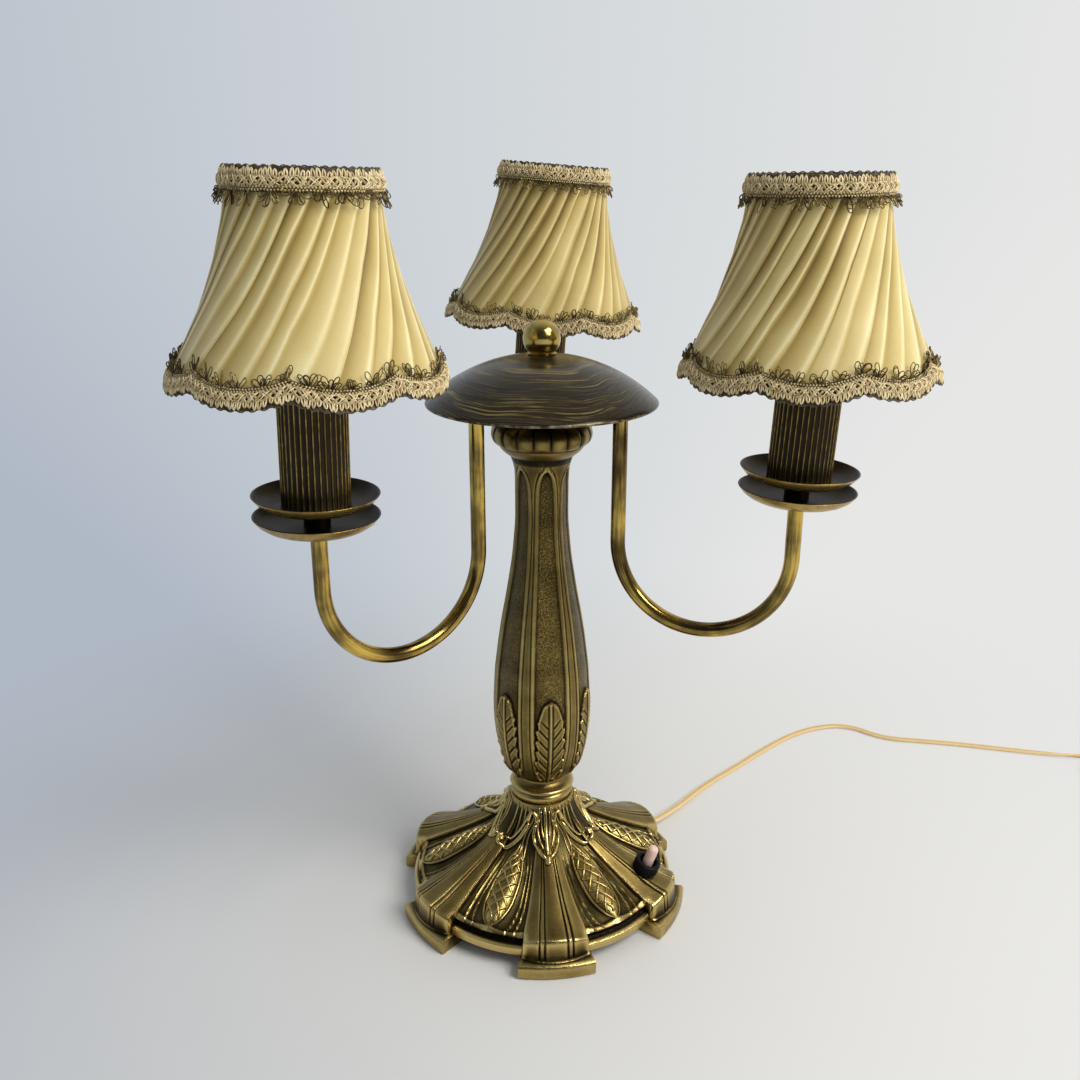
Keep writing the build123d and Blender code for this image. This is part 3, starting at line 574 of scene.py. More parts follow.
@cache
def tinsel():
    """Dull gold wire of the loops."""
    f = Finish("tinsel")
    grime = f.noise(0.5, 3, 0.6) + f.mark("tone") * 0.3
    tint = f.mix((0.30, 0.215, 0.075), (0.045, 0.031, 0.012), grime.step(0.4, 0.85))
    return f.done(Base_Color=tint, Metallic=0.75, Roughness=0.38 + grime * 0.2)


@cache
def ivory_plastic():
    """Ivory plastic of the plug."""
    f = Finish("ivory_plastic")
    age = f.noise(0.12, 3, 0.6)
    tint = f.mix((0.72, 0.62, 0.42), (0.80, 0.73, 0.56), age)
    uneven = f.bump(f.noise(0.8, 3), 0.03, 0.2)
    return f.done(Base_Color=tint, Roughness=0.34 + age * 0.15, Normal=uneven)


@cache
def clear_flex():
    """Golden, slightly clear flex with its strands showing through."""
    f = Finish("clear_flex")
    strand = f.noise(1.0, 2, 0.5, f.lay((0.9, 2.0, 1.0), 0.6))
    age = f.noise(0.03, 3, 0.5)
    tint = f.mix(look("flex"), (0.86, 0.66, 0.34), strand * 0.6 + age * 0.4)
    tint = f.mix(tint, (0.40, 0.26, 0.08), f.mark("web") * 0.7)
    f.done(Subsurface_Weight=0.15, Subsurface_Radius=(0.002, 0.0012, 0.0005))
    return f.done(Base_Color=tint, Roughness=0.26 + strand * 0.12, Coat_Weight=0.3)


# Finishes of two tones mixed by noise: the noise, the tones, the step between them, the base and
# the spread of their roughness, the depth of their relief, and constants
FROSTED = ((0.86, 0.84, 0.79), (0.93, 0.92, 0.88))
BLACK = ((0.003, 0.003, 0.0035), (0.016, 0.015, 0.013))
PINK = ((0.80, 0.50, 0.42), (0.88, 0.66, 0.58))
ZINC = ((0.50, 0.50, 0.49), (0.36, 0.35, 0.33))
COATING = ((0.74, 0.71, 0.64), (0.50, 0.46, 0.38))
MATT = {"Specular_IOR_Level": 0.15}
TWO_TONE = {
    "frosted_glass": ((0.09, 3, 0.5), FROSTED, (), (0.22, 0.1), 0, {"Coat_Weight": 0.3}),
    "black_plastic": ((0.5, 4, 0.6), BLACK, (0.5, 0.85), (0.36, 0.25), 0.03, MATT),
    "pink_plastic": ((0.25, 3, 0.6), PINK, (), (0.28, 0.15), 0, {"Coat_Weight": 0.2}),
    "plated_steel": ((0.4, 4, 0.6), ZINC, (), (0.34, 0.18), 0, {"Metallic": 1.0}),
    "coated_wire": ((0.6, 3, 0.6), COATING, (0.5, 0.8), (0.42, 0.15), 0, {}),
}


@cache
def two_tone(name):
    """A plain finish: two tones mixed by noise, which also varies its roughness."""
    noise, tones, step, rough, depth, constants = TWO_TONE[name]
    f = Finish(name)
    cloud = f.noise(*noise)
    if depth:
        f.done(Normal=f.bump(cloud, depth, 0.3))
    tint = f.mix(*tones, cloud.step(*step) if step else cloud)
    return f.done(Base_Color=tint, Roughness=rough[0] + cloud * rough[1], **constants)


# ------------------------------------------------------------------ stage
# The area lights: place, size, power and colour
LIGHTS = {
    "window": ((0.95, -0.75, 1.35), (0.9, 0.9), 25.0, (1.0, 0.98, 0.95)),
    "side": ((-1.5, -0.6, 1.1), (1.0, 1.4), 1.3, (0.86, 0.93, 1.0)),
}
LIT_POINT = Vector((0, 0, 0.22))


class LAMP_OT_stage(bpy.types.Operator):
    """Sets up the floor, the soft light and the camera"""

    bl_idname = "lamp.stage"
    bl_label = "Stage"
    bl_options = {"REGISTER", "UNDO"}

    def execute(self, context):
        bpy.ops.object.select_all(action="DESELECT")
        bpy.ops.object.camera_add(location=(-0.0560, -0.5637, 0.4195))
        camera = context.object
        camera.rotation_euler = (radians(70.97), 0, radians(-5.67))
        camera.data.lens, camera.data.sensor_width = 36.1, 36.0
        camera.data.shift_x = -0.0016
        context.scene.camera = camera

        bpy.ops.mesh.primitive_plane_add(size=30, location=(0, 0, 0))
        floor = context.object
        floor.name = "floor"
        floor.data.materials.append(floor_paint())

        for name, (spot, size, power, tint) in LIGHTS.items():
            bpy.ops.object.light_add(type="AREA", location=spot)
            lamp = context.object
            lamp.name = name
            lamp.data.shape = "RECTANGLE"
            lamp.data.size, lamp.data.size_y = size
            lamp.data.energy, lamp.data.color = power, tint
            aim = LIT_POINT - Vector(spot)
            lamp.rotation_euler = aim.to_track_quat("-Z", "Y").to_euler()

        room_light(context.scene)
        context.scene.view_settings.view_transform = "Standard"
        return {"FINISHED"}


def backdrop(f, towards):
    """The pale backdrop's colour in a direction: dimmer to the left, brighter to the right."""
    stops = (0.22, (0.43, 0.48, 0.56)), (0.5, (0.62, 0.66, 0.69)), (0.78, (0.80, 0.80, 0.79))
    return f.ramp(f.part(towards, "X") * 0.5 + 0.5, *stops)


def seen(f):
    """1 for rays that look at a surface straight, in a mirror or through glass."""
    kinds = ("Camera", "Glossy", "Transmission")
    rays = [f.node("ShaderNodeLightPath", out=f"Is {kind} Ray") for kind in kinds]
    return f.node("ShaderNodeClamp", None, {0: rays[0] + rays[1] + rays[2]})


def floor_paint():
    """Pale paint for the floor, painted darker to the left as painted shade, which fades into the
    backdrop far from the lamp.
    """
    f = Finish("floor_paint")
    spot = f.node("ShaderNodeTexCoord", out="Object")
    # Painted shade: the floor's colour darkens towards the left and lightens towards the right
    to_right = (f.part(spot, "X") + f.noise(0.004, 2, 0.4) * 0.1).step(-0.75, 0.5)
    f.done(Base_Color=f.mix((0.64, 0.645, 0.65), (0.78, 0.77, 0.74), to_right), Roughness=0.75)
    far = f.vector("LENGTH", spot, out="Value").step(0.05, 0.62)
    glow = f.node("ShaderNodeEmission", None, {"Color": backdrop(f, f.vector("NORMALIZE", spot))})
    sockets = {0: far * seen(f), 1: Wire(f, f.shader.outputs[0]), 2: glow}
    f.plug(f.node("ShaderNodeMixShader", None, sockets), f.tree.nodes["Material Output"].inputs[0])
    return f.material


def room_light(scene):
    """Soft room light, brighter behind and to the right, with a pale backdrop in view."""
    scene.world = bpy.data.worlds.new("room")
    f = Finish("room", scene.world)
    towards = f.node("ShaderNodeTexCoord", out="Generated")
    behind = f.part(towards, "Y").step(-0.8, 0.75)
    to_right = f.part(towards, "X").step(-0.9, 0.6)
    strength = (behind * 0.36 + 0.26) * (to_right * 0.4 + 0.72)
    f.done(Color=(0.94, 0.97, 1.0), Strength=strength)
    camera = f.node("ShaderNodeLightPath", out="Is Camera Ray")
    # The camera sees the backdrop as it is; mirrors see it dimmer in front of the lamp
    front = 1 - (1 - camera) * (1 - behind) * 0.9
    view = f.node("ShaderNodeBackground", None, {"Color": backdrop(f, towards), "Strength": front})
    sockets = {0: seen(f), 1: Wire(f, f.shader.outputs[0]), 2: view}
    f.plug(f.node("ShaderNodeMixShader", None, sockets), f.tree.nodes["World Output"].inputs[0])


# ------------------------------------------------------------------ cord
# The lead from the foot to the coil, then the coil: turns wound so far, radius and height along it,
# clockwise; then the tail from the coil to the plug, from the coil's centre
LEAD = ((65.4, 37.75, 8.0), (80.5, 46.5, 8.0), (102.0, 70.5, 2.6), (125.0, 95.3, 1.35))
LEAD += ((152.3, 116.2, 1.35), (180.4, 139.0, 1.35), (206.5, 158.4, 1.35), (229.0, 168.9, 1.35))
LEAD += ((249.5, 172.4, 1.35), (264.5, 166.6, 1.35), (275.0, 154.2, 1.35), (287.5, 146.8, 1.35))
LEAD += ((308.0, 141.6, 1.35), (337.0, 133.2, 1.35), (365.5, 122.9, 1.5), (393.5, 112.6, 2.0))
LEAD += ((421.0, 105.0, 2.6),)
COIL_CENTRE = (443.6, 65.6, 0)
COIL_START = 72.5
COIL = (
    (0, 32.8, 2.6), (2.6, 23.2, 2.6), (2.95, 23.2, 7.7), (4.2, 28, 7.7), (4.6, 23.2, 12.8),
    (5.8, 27.8, 12.8), (6.3, 33, 7.8), (7.1, 33, 7.7),
)
TAIL = ((30.8, 10.5, 7.6), (31.2, 2.0, 7.4), (30.6, -7.0, 7.2), (29.2, -16.0, 7.0))
TAIL += ((28.2, -22.5, 7.0), (28.0, -25.6, 7.0))
# Where the flex begins and ends to turn on edge; half its height, and the web between its cores
ON_EDGE = (370, 450)
FLEX_HALF_HEIGHT, WEB_WIDTH, WEB_DEPTH = 1.3, 0.55, 0.42
# The tie round the coil: its angle, middle, half width and half height, and its section
TIE_ANGLE, TIE_MIDDLE, TIE_HALF = 150.0, (28, 7.9), (7.4, 7.6)
TIE_SECTION = ((-2.2, 0), (-2.0, 0.5), (2.0, 0.5), (2.2, 0), (2.0, -0.3), (-2.0, -0.3))


def nurbs(route):
    """The points of a NURBS curve through a route, in millimetres."""
    curve = bpy.data.curves.new("cord_route", "CURVE")
    curve.dimensions, curve.resolution_u = "3D", 8
    run = curve.splines.new("NURBS")
    run.points.add(len(route) - 1)
    for point, spot in zip(run.points, route * MM):
        point.co = (*spot, 1)
    run.order_u, run.use_endpoint_u = 3, True
    holder = bpy.data.objects.new("cord_route", curve)
    mesh = bpy.data.meshes.new_from_object(holder)
    line = np.array([v.co for v in mesh.vertices]) / MM
    bpy.data.meshes.remove(mesh)
    bpy.data.objects.remove(holder)
    bpy.data.curves.remove(curve)
    return line


class LAMP_OT_cord(bpy.types.Operator):
    """Lays the flat twin flex: its lead along the floor and the coil that is put away"""

    bl_idname = "lamp.cord"
    bl_label = "Cord"
    bl_options = {"REGISTER", "UNDO"}

    def execute(self, context):
        turns = np.linspace(0, COIL[-1][0], 100)[1:]
        wound, radii, heights = np.array(COIL).T
        coil = polar(
            COIL_START - 360 * turns,
            np.interp(turns, wound, radii),
            np.interp(turns, wound, heights),
        )
        line = nurbs(np.vstack([LEAD, np.vstack([coil, TAIL]) + COIL_CENTRE]))
        size = context.scene.lamp_sizes.flex_width
        cord, strap = self.flex(line, size / MM / 2), self.tie()
        settle(cord, "clear_flex", "cord_lead", "cord_coil")
        settle(strap, "black_plastic")
        finish_nodes(ivory_plastic(), "plug_body")
        finish_nodes(polished_brass(), "plug_pins")
        finish_nodes(two_tone("black_plastic"), "cord_grommet")
        return {"FINISHED"}

    def flex(self, line, half):
        """The flex along a line: flat on the floor, it turns on edge as it enters the coil."""
        run = run_lengths(line)
        ahead = unit(np.gradient(line, axis=0))
        side = unit(np.cross(ahead, (0, 0, 1)))
        roll = ease(run, *ON_EDGE)[:, None] * pi / 2
        wide = side * np.cos(roll) + np.cross(side, ahead) * np.sin(roll)
        thick = np.cross(wide, ahead)
        turn = circle(20, 2 * pi)
        width = half * np.cos(turn)
        web = np.exp(-((width / WEB_WIDTH) ** 2))
        height = FLEX_HALF_HEIGHT * np.sin(turn) * (1 - WEB_DEPTH * web)
        points = line[:, None] + wide[:, None] * width[:, None] + thick[:, None] * height[:, None]
        faces = tube_faces(len(line), len(turn))
        cord = solid("cord", points.reshape(-1, 3), faces, clear_flex(), 60)
        lay_out(cord, run[:, None], width, height)
        paint(cord, "web", np.tile(web, len(line)))
        return cord

    def tie(self):
        """The strap that holds the coil together."""
        out = polar(TIE_ANGLE, 1, 0)
        turn = circle(24, 2 * pi)
        corner = (np.abs(np.cos(turn)) ** 4 + np.abs(np.sin(turn)) ** 4) ** 0.25
        centre = polar(TIE_ANGLE, *TIE_MIDDLE) + COIL_CENTRE
        spoke = out * (TIE_HALF[0] * np.cos(turn) / corner)[:, None]
        spoke = spoke + np.outer(TIE_HALF[1] * np.sin(turn) / corner, (0, 0, 1))
        along = np.cross(out, (0, 0, 1))
        points = [centre + spoke + along * a + unit(spoke) * b for a, b in TIE_SECTION]
        return shell("cord_tie", np.stack(points, 1), two_tone("black_plastic"), 40)


# ------------------------------------------------------------------ cast foot
# The ground between the rays: distances from the axis and heights
GROUND = (
    (18.5, 20.0, 22.5, 28.0, 34.0, 40.0, 50.0, 60.0, 68.0, 74.5),
    (66.0, 60.8, 54.3, 45.4, 40.2, 36.2, 30.6, 25.0, 21.4, 18.6),
)
# The rays: distances, heights of their edges and of their crowns above the edges, half widths,
# and where their grooves run, as shares of the half width
RAY = (18.5, 22.0, 28.0, 40.0, 60.0, 76.5, 86.0)
RAY_EDGES = (66.0, 56.6, 47.9, 38.8, 27.6, 20.3, 17.4)
RAY_CROWNS = (0.3, 1.2, 2.2, 2.8, 3.9, 4.2, 4.2)
RAY_WIDTHS = (4.8, 5.3, 6.0, 8.4, 13.0, 17.6, 19.4)
RAY_GROOVES = (-0.50, -0.34, 0.34, 0.50)
# The seed pods: distances and half widths
POD = (30.5, 35.0, 40.0, 48.0, 58.0, 66.0, 70.0, 72.6), (0.4, 3.0, 4.9, 6.6, 7.2, 5.6, 3.4, 0.4)
# Degrees from one ray to the next, and the distances of the neck and of the lip
SECTOR = 60.0
NECK, LIP = 18.5, 74.5
# The end face of a ray: how far from its crest to its foot, and how far down
FACE = ((0.15, 0.25), (0.3, 0.8), (0.45, 2.2), (0.6, 5.0), (0.8, 8.0), (1.0, 10.6))
FACE_FOOT = 10.6
# Half angles of a ray and of what goes down into the gap beside it: at its end, and at its foot
END_HALVES, FOOT_HALVES = (12.9, 13.3), (14.3, 14.5)
# Distances of a ray's crest and of its foot's edge at the sides, and how much further in the middle
CREST, FOOT_EDGE = (79.6, 2.6), (80.7, 3.7)
# The wall behind the end faces: its distance at the top and how far it slopes in, and its height
WALL, WALL_SLOPE, WALL_HEIGHT = 77.0, 3.0, 8.0
# The ledge and the slab of a foot: a step out from the face, or distances from the axis; heights
LEDGE = ((0.9, 9.9), (0.0, 9.2))
SLAB = ((86.0, 8.3), (86.7, 7.6), (87.0, 6.6), (87.0, 3.8), (87.0, 1.2), (86.5, 0.3), (85.8, 0.0))
# The sole and its pocket: distance, height at the sides and in the middle, and the wall in the gap
SOLE = (
    (82.6, 0.0, 0.0, 72.0, 8.0),
    (79.6, 0.0, 0.0, 70.4, 8.0),
    (79.3, 0.0, 15.6, 70.0, 9.0),
    (72.0, 0.0, 18.0, 70.0, 12.8),
    (64.0, 0.0, 21.0, 68.0, 14.8),
    (62.0, 0.0, 21.4, 65.0, 17.0),
    (61.4, 9.0, 21.6, 63.0, 18.4),
    (60.6, 20.4, 21.8, 61.0, 19.6),
)
HOLLOW = (
    (58.2, 21.4), (48, 27), (38.2, 32.6), (32, 37), (26.2, 41.8), (21, 49), (17, 56), (11, 56),
    (5.1, 56), (5.1, 61), (5.1, 66), (12, 66),
)
RIM = (
    (75.1, 17.9), (74.7, 17.1), (73.9, 16.4), (73.6, 15.4), (73.8, 14.3), (74.9, 13.5), (77, 13.3),
    (77.9, 12.7), (78.1, 11.4), (78.1, 9.8), (77.9, 8.6), (77.2, 8),
)
# The neck's ornament, mirrored: points across the ray and down from the neck, width, rise and wear
CURLS = (
    (((5.1, 11), (6.2, 14), (6.9, 18), (6.1, 25), (3.8, 31.5), (0.3, 36.5)), 1.55, 2.0, 1.0),
    (((3.6, 8.5), (4.5, 15.0), (4.0, 22.5), (2.2, 29.0)), 0.8, 1.4, 1.0),
    (((2.3, 3.5), (2.4, 10.0), (2.2, 17.0), (1.5, 24.0)), 0.6, 1.1, 0.95),
    (((5.2, 13.0), (4.9, 8.5), (5.6, 5.2), (7.4, 4.0), (9.0, 6.6), (10.4, 12.0)), 1.5, 2.3, 1.0),
)
# The same between the rays, by degrees and down from the neck
SCROLL = ((25, 10), (28.5, 14), (34, 20), (41.5, 26), (48, 30), (53.5, 31), (57, 28), (54.5, 25))
SCROLLS = (
    (SCROLL, 1.6, 2.1, 1.0),
    (((26.0, 5.0), (31.0, 10.0), (37.5, 16.5), (45.0, 22.5), (51.5, 26.0)), 1.0, 1.5, 0.95),
    (((53.6, 29.6), (54.6, 28.2), (55.4, 26.6)), 2.3, 2.3, 1.0),
)
# Ribs beside the scrolls: degrees, where they begin and end; leaves: degrees at both ends
RIBBING = ((9.5, 1, 12), (26, 0.6, 13), (33, 0.6, 17), (41, 0.6, 21), (50, 0.6, 24))
LEAVES = ((17.0, 24.0), (12.0, 19.0))
TONGUES = ((((0.0, 1.0), (0.0, 14.0), (0.0, 24.0), (0.0, 33.0)), 1.3, 1.5),)
TONGUES += ((((0.0, 34.5), (0.0, 36.5), (0.0, 39.5)), 2.2, 2.2),)
# Section of a ridge, in half widths and heights
RIDGE = ((-1, -1.0), (-1, -0.05), (-0.72, 0.55), (-0.3, 0.94))
RIDGE += ((0.3, 0.94), (0.72, 0.55), (1, -0.05), (1, -1.0))


def ray_half_angle(distance):
    """Half of the angle that a ray takes at a distance from the axis."""
    return np.degrees(np.arcsin(smooth_curve(distance, RAY, RAY_WIDTHS) / distance))


def ray_height(distance, share):
    """The crowned and grooved top of a ray, at a share of its half width."""
    sunk = sum(hump(share - place, 0.05) for place in RAY_GROOVES) * ease(distance, 27, 38)
    crown = smooth_curve(distance, RAY, RAY_CROWNS) * (1 - share**2)
    return smooth_curve(distance, RAY, RAY_EDGES) + crown - 0.75 * sunk


def ground_height(distance, share):
    """The fluted ground between two rays with its seed pod, at a share of the gap."""
    gap = np.radians(SECTOR - 2 * ray_half_angle(distance)) * distance
    across = (share - 0.5) * gap
    on_pod = (distance > POD[0][0]) & (distance < POD[0][-1])
    girth = np.where(on_pod, smooth_curve(distance, *POD), 0)
    pod = np.sqrt(np.clip(1 - (across / np.maximum(girth, 0.1)) ** 2, 0, 1)) * girth * 0.62
    aside = gap / 2 - np.abs(across)
    room = np.maximum(gap / 2 - girth, 1.0)
    flute = 1.7 * np.sin(pi * np.clip(aside / room, 0, 1)) * ease(distance, 26, 42)
    fine = 0.75 * hump(aside - 0.26 * room, 0.9) + 0.6 * hump(aside - 0.52 * room, 0.8)
    lip = 0.9 * hump(distance - 73.2, 1.6)
    return smooth_curve(distance, *GROUND) - flute + fine * ease(distance, 30, 40) + pod + lip


def foot_surface(angle, distance):
    """Height of the casting's top at angles from the front ray."""
    turned_by = (np.asarray(angle) + SECTOR / 2) % SECTOR - SECTOR / 2
    half = ray_half_angle(distance)
    share = (np.abs(turned_by) - half) / (SECTOR - 2 * half)
    above = ray_height(distance, np.clip(turned_by / half, -1, 1))
    return np.where(np.abs(turned_by) < half, above, ground_height(distance, np.clip(share, 0, 1)))


def foot_rows():
    """The casting as a grid, closed both ways: rows outwards and back inside, columns round it."""
    grooves = [np.add(RAY_GROOVES, d) for d in (-0.05, 0, 0.05)]
    shares = np.unique(np.concatenate([np.linspace(-1, 1, 31), *grooves]))
    gaps = np.concatenate([[0], (1 - np.cos(np.linspace(0.15, pi - 0.15, 46))) / 2, [1]])
    gaps = 0.5 * gaps + 0.5 * np.linspace(0, 1, len(gaps))
    steps = np.array([0.35, 0.7])
    rows = []

    def row(ray, half, ground, ground_half):
        """One row of a sector: a ray, the wall at its side, the gap and the next ray's wall."""
        ray = [np.broadcast_to(v, shares.shape) for v in ray]
        ground = [np.broadcast_to(v, gaps.shape) for v in ground]

        def wall(end, start_angle, end_angle, start, share):
            """The wall from a ray's edge down to the ground: angles, distances and heights."""
            down = [r[start] + (g[end] - r[start]) * share for r, g in zip(ray, ground)]
            return start_angle + (end_angle - start_angle) * share, *down

        after = wall(0, half, ground_half, -1, steps)
        before = wall(-1, SECTOR - half, SECTOR - ground_half, 0, steps[::-1])
        gap = (ground_half + gaps * (SECTOR - 2 * ground_half), *ground)
        parts = zip((shares * half, *ray), after, gap, before)
        angle, distance, z = (np.concatenate(v) for v in parts)
        around = [polar(FOOT_ANGLE + k * SECTOR + angle, distance, z) for k in range(6)]
        rows.append(np.concatenate(around))

    for distance in np.concatenate([np.linspace(NECK, 36, 42), np.linspace(36.6, LIP, 44)]):
        half = ray_half_angle(distance)
        top, ground = ray_height(distance, shares), ground_height(distance, gaps)
        row((distance, top), half, (distance, ground), half + 0.35)
    # The crest runs out to the ray's end while the ground falls over the lip to the rim
    crest, foot_edge = (side + more * (1 - shares**2) for side, more in (CREST, FOOT_EDGE))
    gap_wave = 0.5 + 0.5 * np.cos(2 * pi * 9 * gaps)
    for i, (distance, z) in enumerate(RIM):
        t = (i + 1) / len(RIM)
        reach = LIP + (crest - LIP) * t
        half = ray_half_angle(LIP) + (END_HALVES[0] - ray_half_angle(LIP)) * t
        tucked = distance - 0.5 * gap_wave * (13.6 < z < 16.8)
        row((reach, ray_height(reach, shares)), half, (tucked, z), END_HALVES[1])
    # End face of the ray, with the grooves carried down it, then its ledge and slab
    top = ray_height(crest, shares)
    grooves = sum(hump(shares - place, 0.05) for place in RAY_GROOVES)
    count = len(FACE) + len(LEDGE) + len(SLAB)
    walls = ((WALL - WALL_SLOPE * i / count, WALL_HEIGHT) for i in range(1, count + 1))
    for share, drop in FACE:
        reach = crest + (foot_edge - crest) * share + 0.6 * ease(drop, 0, 1) * (1 - share)
        z = top - drop * (top - FACE_FOOT) / FACE_FOOT
        half = END_HALVES[0] + 0.3 * share
        row((reach - 0.75 * grooves, z), half, next(walls), 13.5)
    for out, z in LEDGE:
        row((foot_edge + out, z), END_HALVES[1], next(walls), FOOT_HALVES[1])
    for distance, z in SLAB:
        row((distance, z), FOOT_HALVES[0], next(walls), FOOT_HALVES[1])
    # Sole, pocket of the foot and the hollow underside
    for distance, z, roof, inside, inside_z in SOLE:
        sole = np.where(np.abs(shares) < 0.6, roof, z)
        row((distance, sole), FOOT_HALVES[0], (inside, inside_z), FOOT_HALVES[1])
    for point in HOLLOW:
        row(point, FOOT_HALVES[0], point, FOOT_HALVES[1])
    return np.array(rows)


class LAMP_OT_foot(bpy.types.Operator):
    """Casts the foot: six grooved rays, fluted ground, seed pods and the ornament of its neck"""

    bl_idname = "lamp.foot"
    bl_label = "Foot"
    bl_options = {"REGISTER", "UNDO"}

    def execute(self, context):
        grid = foot_rows()
        foot = shell("foot", grid, antique_brass(), 38)
        lift = -relief(grid, 5)
        # The rows of the top come first; wear fades out on the way to the underside
        top = ease(-np.arange(len(grid)), -118, -100)[:, None]
        neck = 1 - ease(np.hypot(grid[..., 0], grid[..., 1]), 26, 36)
        wear = 0.44 - 0.17 * neck * top + np.clip(lift, -0.42, 0.42) * (0.3 + 0.7 * top)
        paint(foot, "proud", wear)
        paint(foot, "stipple", np.full(wear.size, 0.15))

        trim = Bundle()
        for turn in range(6):
            self.pod(trim, SECTOR / 2 + turn * SECTOR)
        for turn in range(3):
            self.neck(trim, turn * 2 * SECTOR)
        settle(foot, "antique_brass", "base")
        settle(trim.piece("foot_ornament", antique_brass(), "proud"), "antique_brass")
        return {"FINISHED"}

    def ridge(self, trim, angles, distances, width, height, proud=0.95):
        """A rounded ridge along a line on the casting."""
        near = (-1.6, -0.8, 0, 0.8, 1.6)
        z = np.mean([foot_surface(angles + d, distances) for d in near], axis=0)
        z = np.convolve(np.pad(z, 2, mode="edge"), [0.1, 0.2, 0.4, 0.2, 0.1], "valid")
        line = polar(FOOT_ANGLE + angles, distances, z)
        slope = smooth_curve(distances + 0.5, *GROUND) - smooth_curve(distances - 0.5, *GROUND)
        up = unit(polar(FOOT_ANGLE + angles, -slope, 1.0))
        side = np.cross(unit(np.gradient(line, axis=0)), up)
        share = np.linspace(0, 1, len(line))
        taper = np.clip(np.minimum(share, 1 - share) * 8, 0.15, 1)[:, None] ** 0.6
        points = [line + side * (a * width * taper) + up * (b * height * taper) for a, b in RIDGE]
        marks = [0.1, 0.3, 0.7, proud, proud, 0.7, 0.3, 0.1]
        faces = tube_faces(len(line), len(RIDGE))
        trim.add(np.stack(points, 1).reshape(-1, 3), faces, np.tile(marks, len(line)))

    def pod(self, trim, middle):
        """The diamond lattice of a seed pod, and the leaf edges beside it."""
        t = np.linspace(0, 1, 15)
        for way in (-1, 1):
            for start in np.arange(-1.4, 6.4, 1.0):
                place = (start + 2.1 * t) / 6.2
                keep = (place > 0.03) & (place < 0.97)
                if keep.sum() < 4:
                    continue
                distance = 31.5 + 40.5 * place[keep]
                girth = smooth_curve(distance, *POD)
                angle = np.degrees(way * (2 * t[keep] - 1) * girth * 0.95 / distance)
                self.ridge(trim, middle + angle, distance, 0.85, 1.15, 0.8)
            distance = np.linspace(28.0, 72.8, 32)
            girth = smooth_curve(np.clip(distance, POD[0][0], POD[0][-1]), *POD) + 0.5
            angle = way * np.degrees(girth / distance)
            self.ridge(trim, middle + angle, distance, 0.85, 1.0, 0.75)

    def neck(self, trim, middle):
        """Tongue, curls and scrolls that spring from the neck above a ray."""
        distance = np.linspace(NECK, 60, 300)
        fall = run_lengths(np.stack([distance, smooth_curve(distance, *GROUND)], 1))

        def lay(points, width, rise, proud=1.0, way=1, across=True):
            """One ridge: its points across the ray, or in degrees, and down from the neck."""
            line = flow([(way * a, s) for a, s in points], 7)
            reach = np.interp(line[:, 1], fall, distance)
            angle = np.degrees(line[:, 0] / reach) if across else line[:, 0]
            self.ridge(trim, middle + angle, reach, width, rise, proud)

        for way in (-1, 1):
            for curl in CURLS:
                lay(*curl, way)
            for scroll in SCROLLS:
                lay(*scroll, way, False)
            for lean, low, high in RIBBING:
                rib = [(lean + 0.35 * k, low + (high - low) * k / 4) for k in range(5)]
                lay(rib, 0.55, 0.8, 0.85, way, False)
            for start, end in LEAVES:
                leaf = [(start, 1), (start + 2, 8), (end + 3, 16), (end + 5, 24), (end + 4.5, 33)]
                lay(leaf, 0.6, 0.7, 0.8, way, False)
        for tongue in TONGUES:
            lay(*tongue)


# ------------------------------------------------------------------ column
# The column: heights and radii; its panels: heights and half widths in degrees; its leaves: heights
# and half widths
COLUMN = (
    (81, 16), (84, 18.9), (88, 21.8), (97, 24.8), (106, 26.6), (114, 27.4), (123, 27.8),
    (131, 27.7), (140, 27.2), (148, 26.7), (156, 25.7), (165, 24.6), (173, 23.4), (181, 22.1),
    (189, 20.6), (197, 19.2), (205, 17.9), (212, 16.8), (220, 15.8), (228, 15.1), (235, 14.5),
    (243, 14.3), (258, 14.3), (265, 14.8), (269, 15.7), (273, 17.1),
)
PANEL = (
    (82, 12), (86, 16), (94, 19), (104, 20.5), (122, 21), (228, 20.5), (250, 19.5), (258, 17.5),
    (263, 13), (266, 7), (267.5, 0),
)
LEAF = (
    (80, 3.4), (84, 5.8), (90, 7.3), (96, 8), (104, 8.2), (116, 8.4), (125, 7.5), (131, 5.9),
    (136, 3.2), (137.6, 0),
)
COLUMN_FOOT, COLUMN_TOP, CAPITAL_TOP = 81.0, 273.0, 293.0
# The capital: radii, heights and how far its lobes are cut in
CAPITAL = (
    (16.2, 273, 0), (17.4, 273.3, 0), (19.3, 274.6, 0), (21.4, 276.4, 0), (23, 278.6, 0),
    (22.8, 279.3, 0), (22.8, 279.3, 0), (24.6, 279.9, 0.3), (26.3, 281.6, 0.9), (27.2, 284, 1.3),
    (27.2, 286.5, 1.3), (26, 289, 1), (24, 290.8, 0.6), (21.5, 291.8, 0.3), (18, 292.6, 0),
    (14.2, 293, 0),
)
LOBES, LOBE_STEPS = 18, 14
COLLAR = (
    (16.8, 66), (17.8, 66.9), (18.2, 68.4), (18, 70), (17.2, 71.1), (16.9, 71.5), (17.6, 71.9),
    (18.6, 72.5), (18.9, 73.4), (18.6, 74.2), (17.4, 74.9), (15.8, 75.6), (14.4, 76.8),
    (13.8, 78.2), (14.2, 79.6), (15.6, 80.6), (16.2, 81),
)
ROD_BORE = 5.1


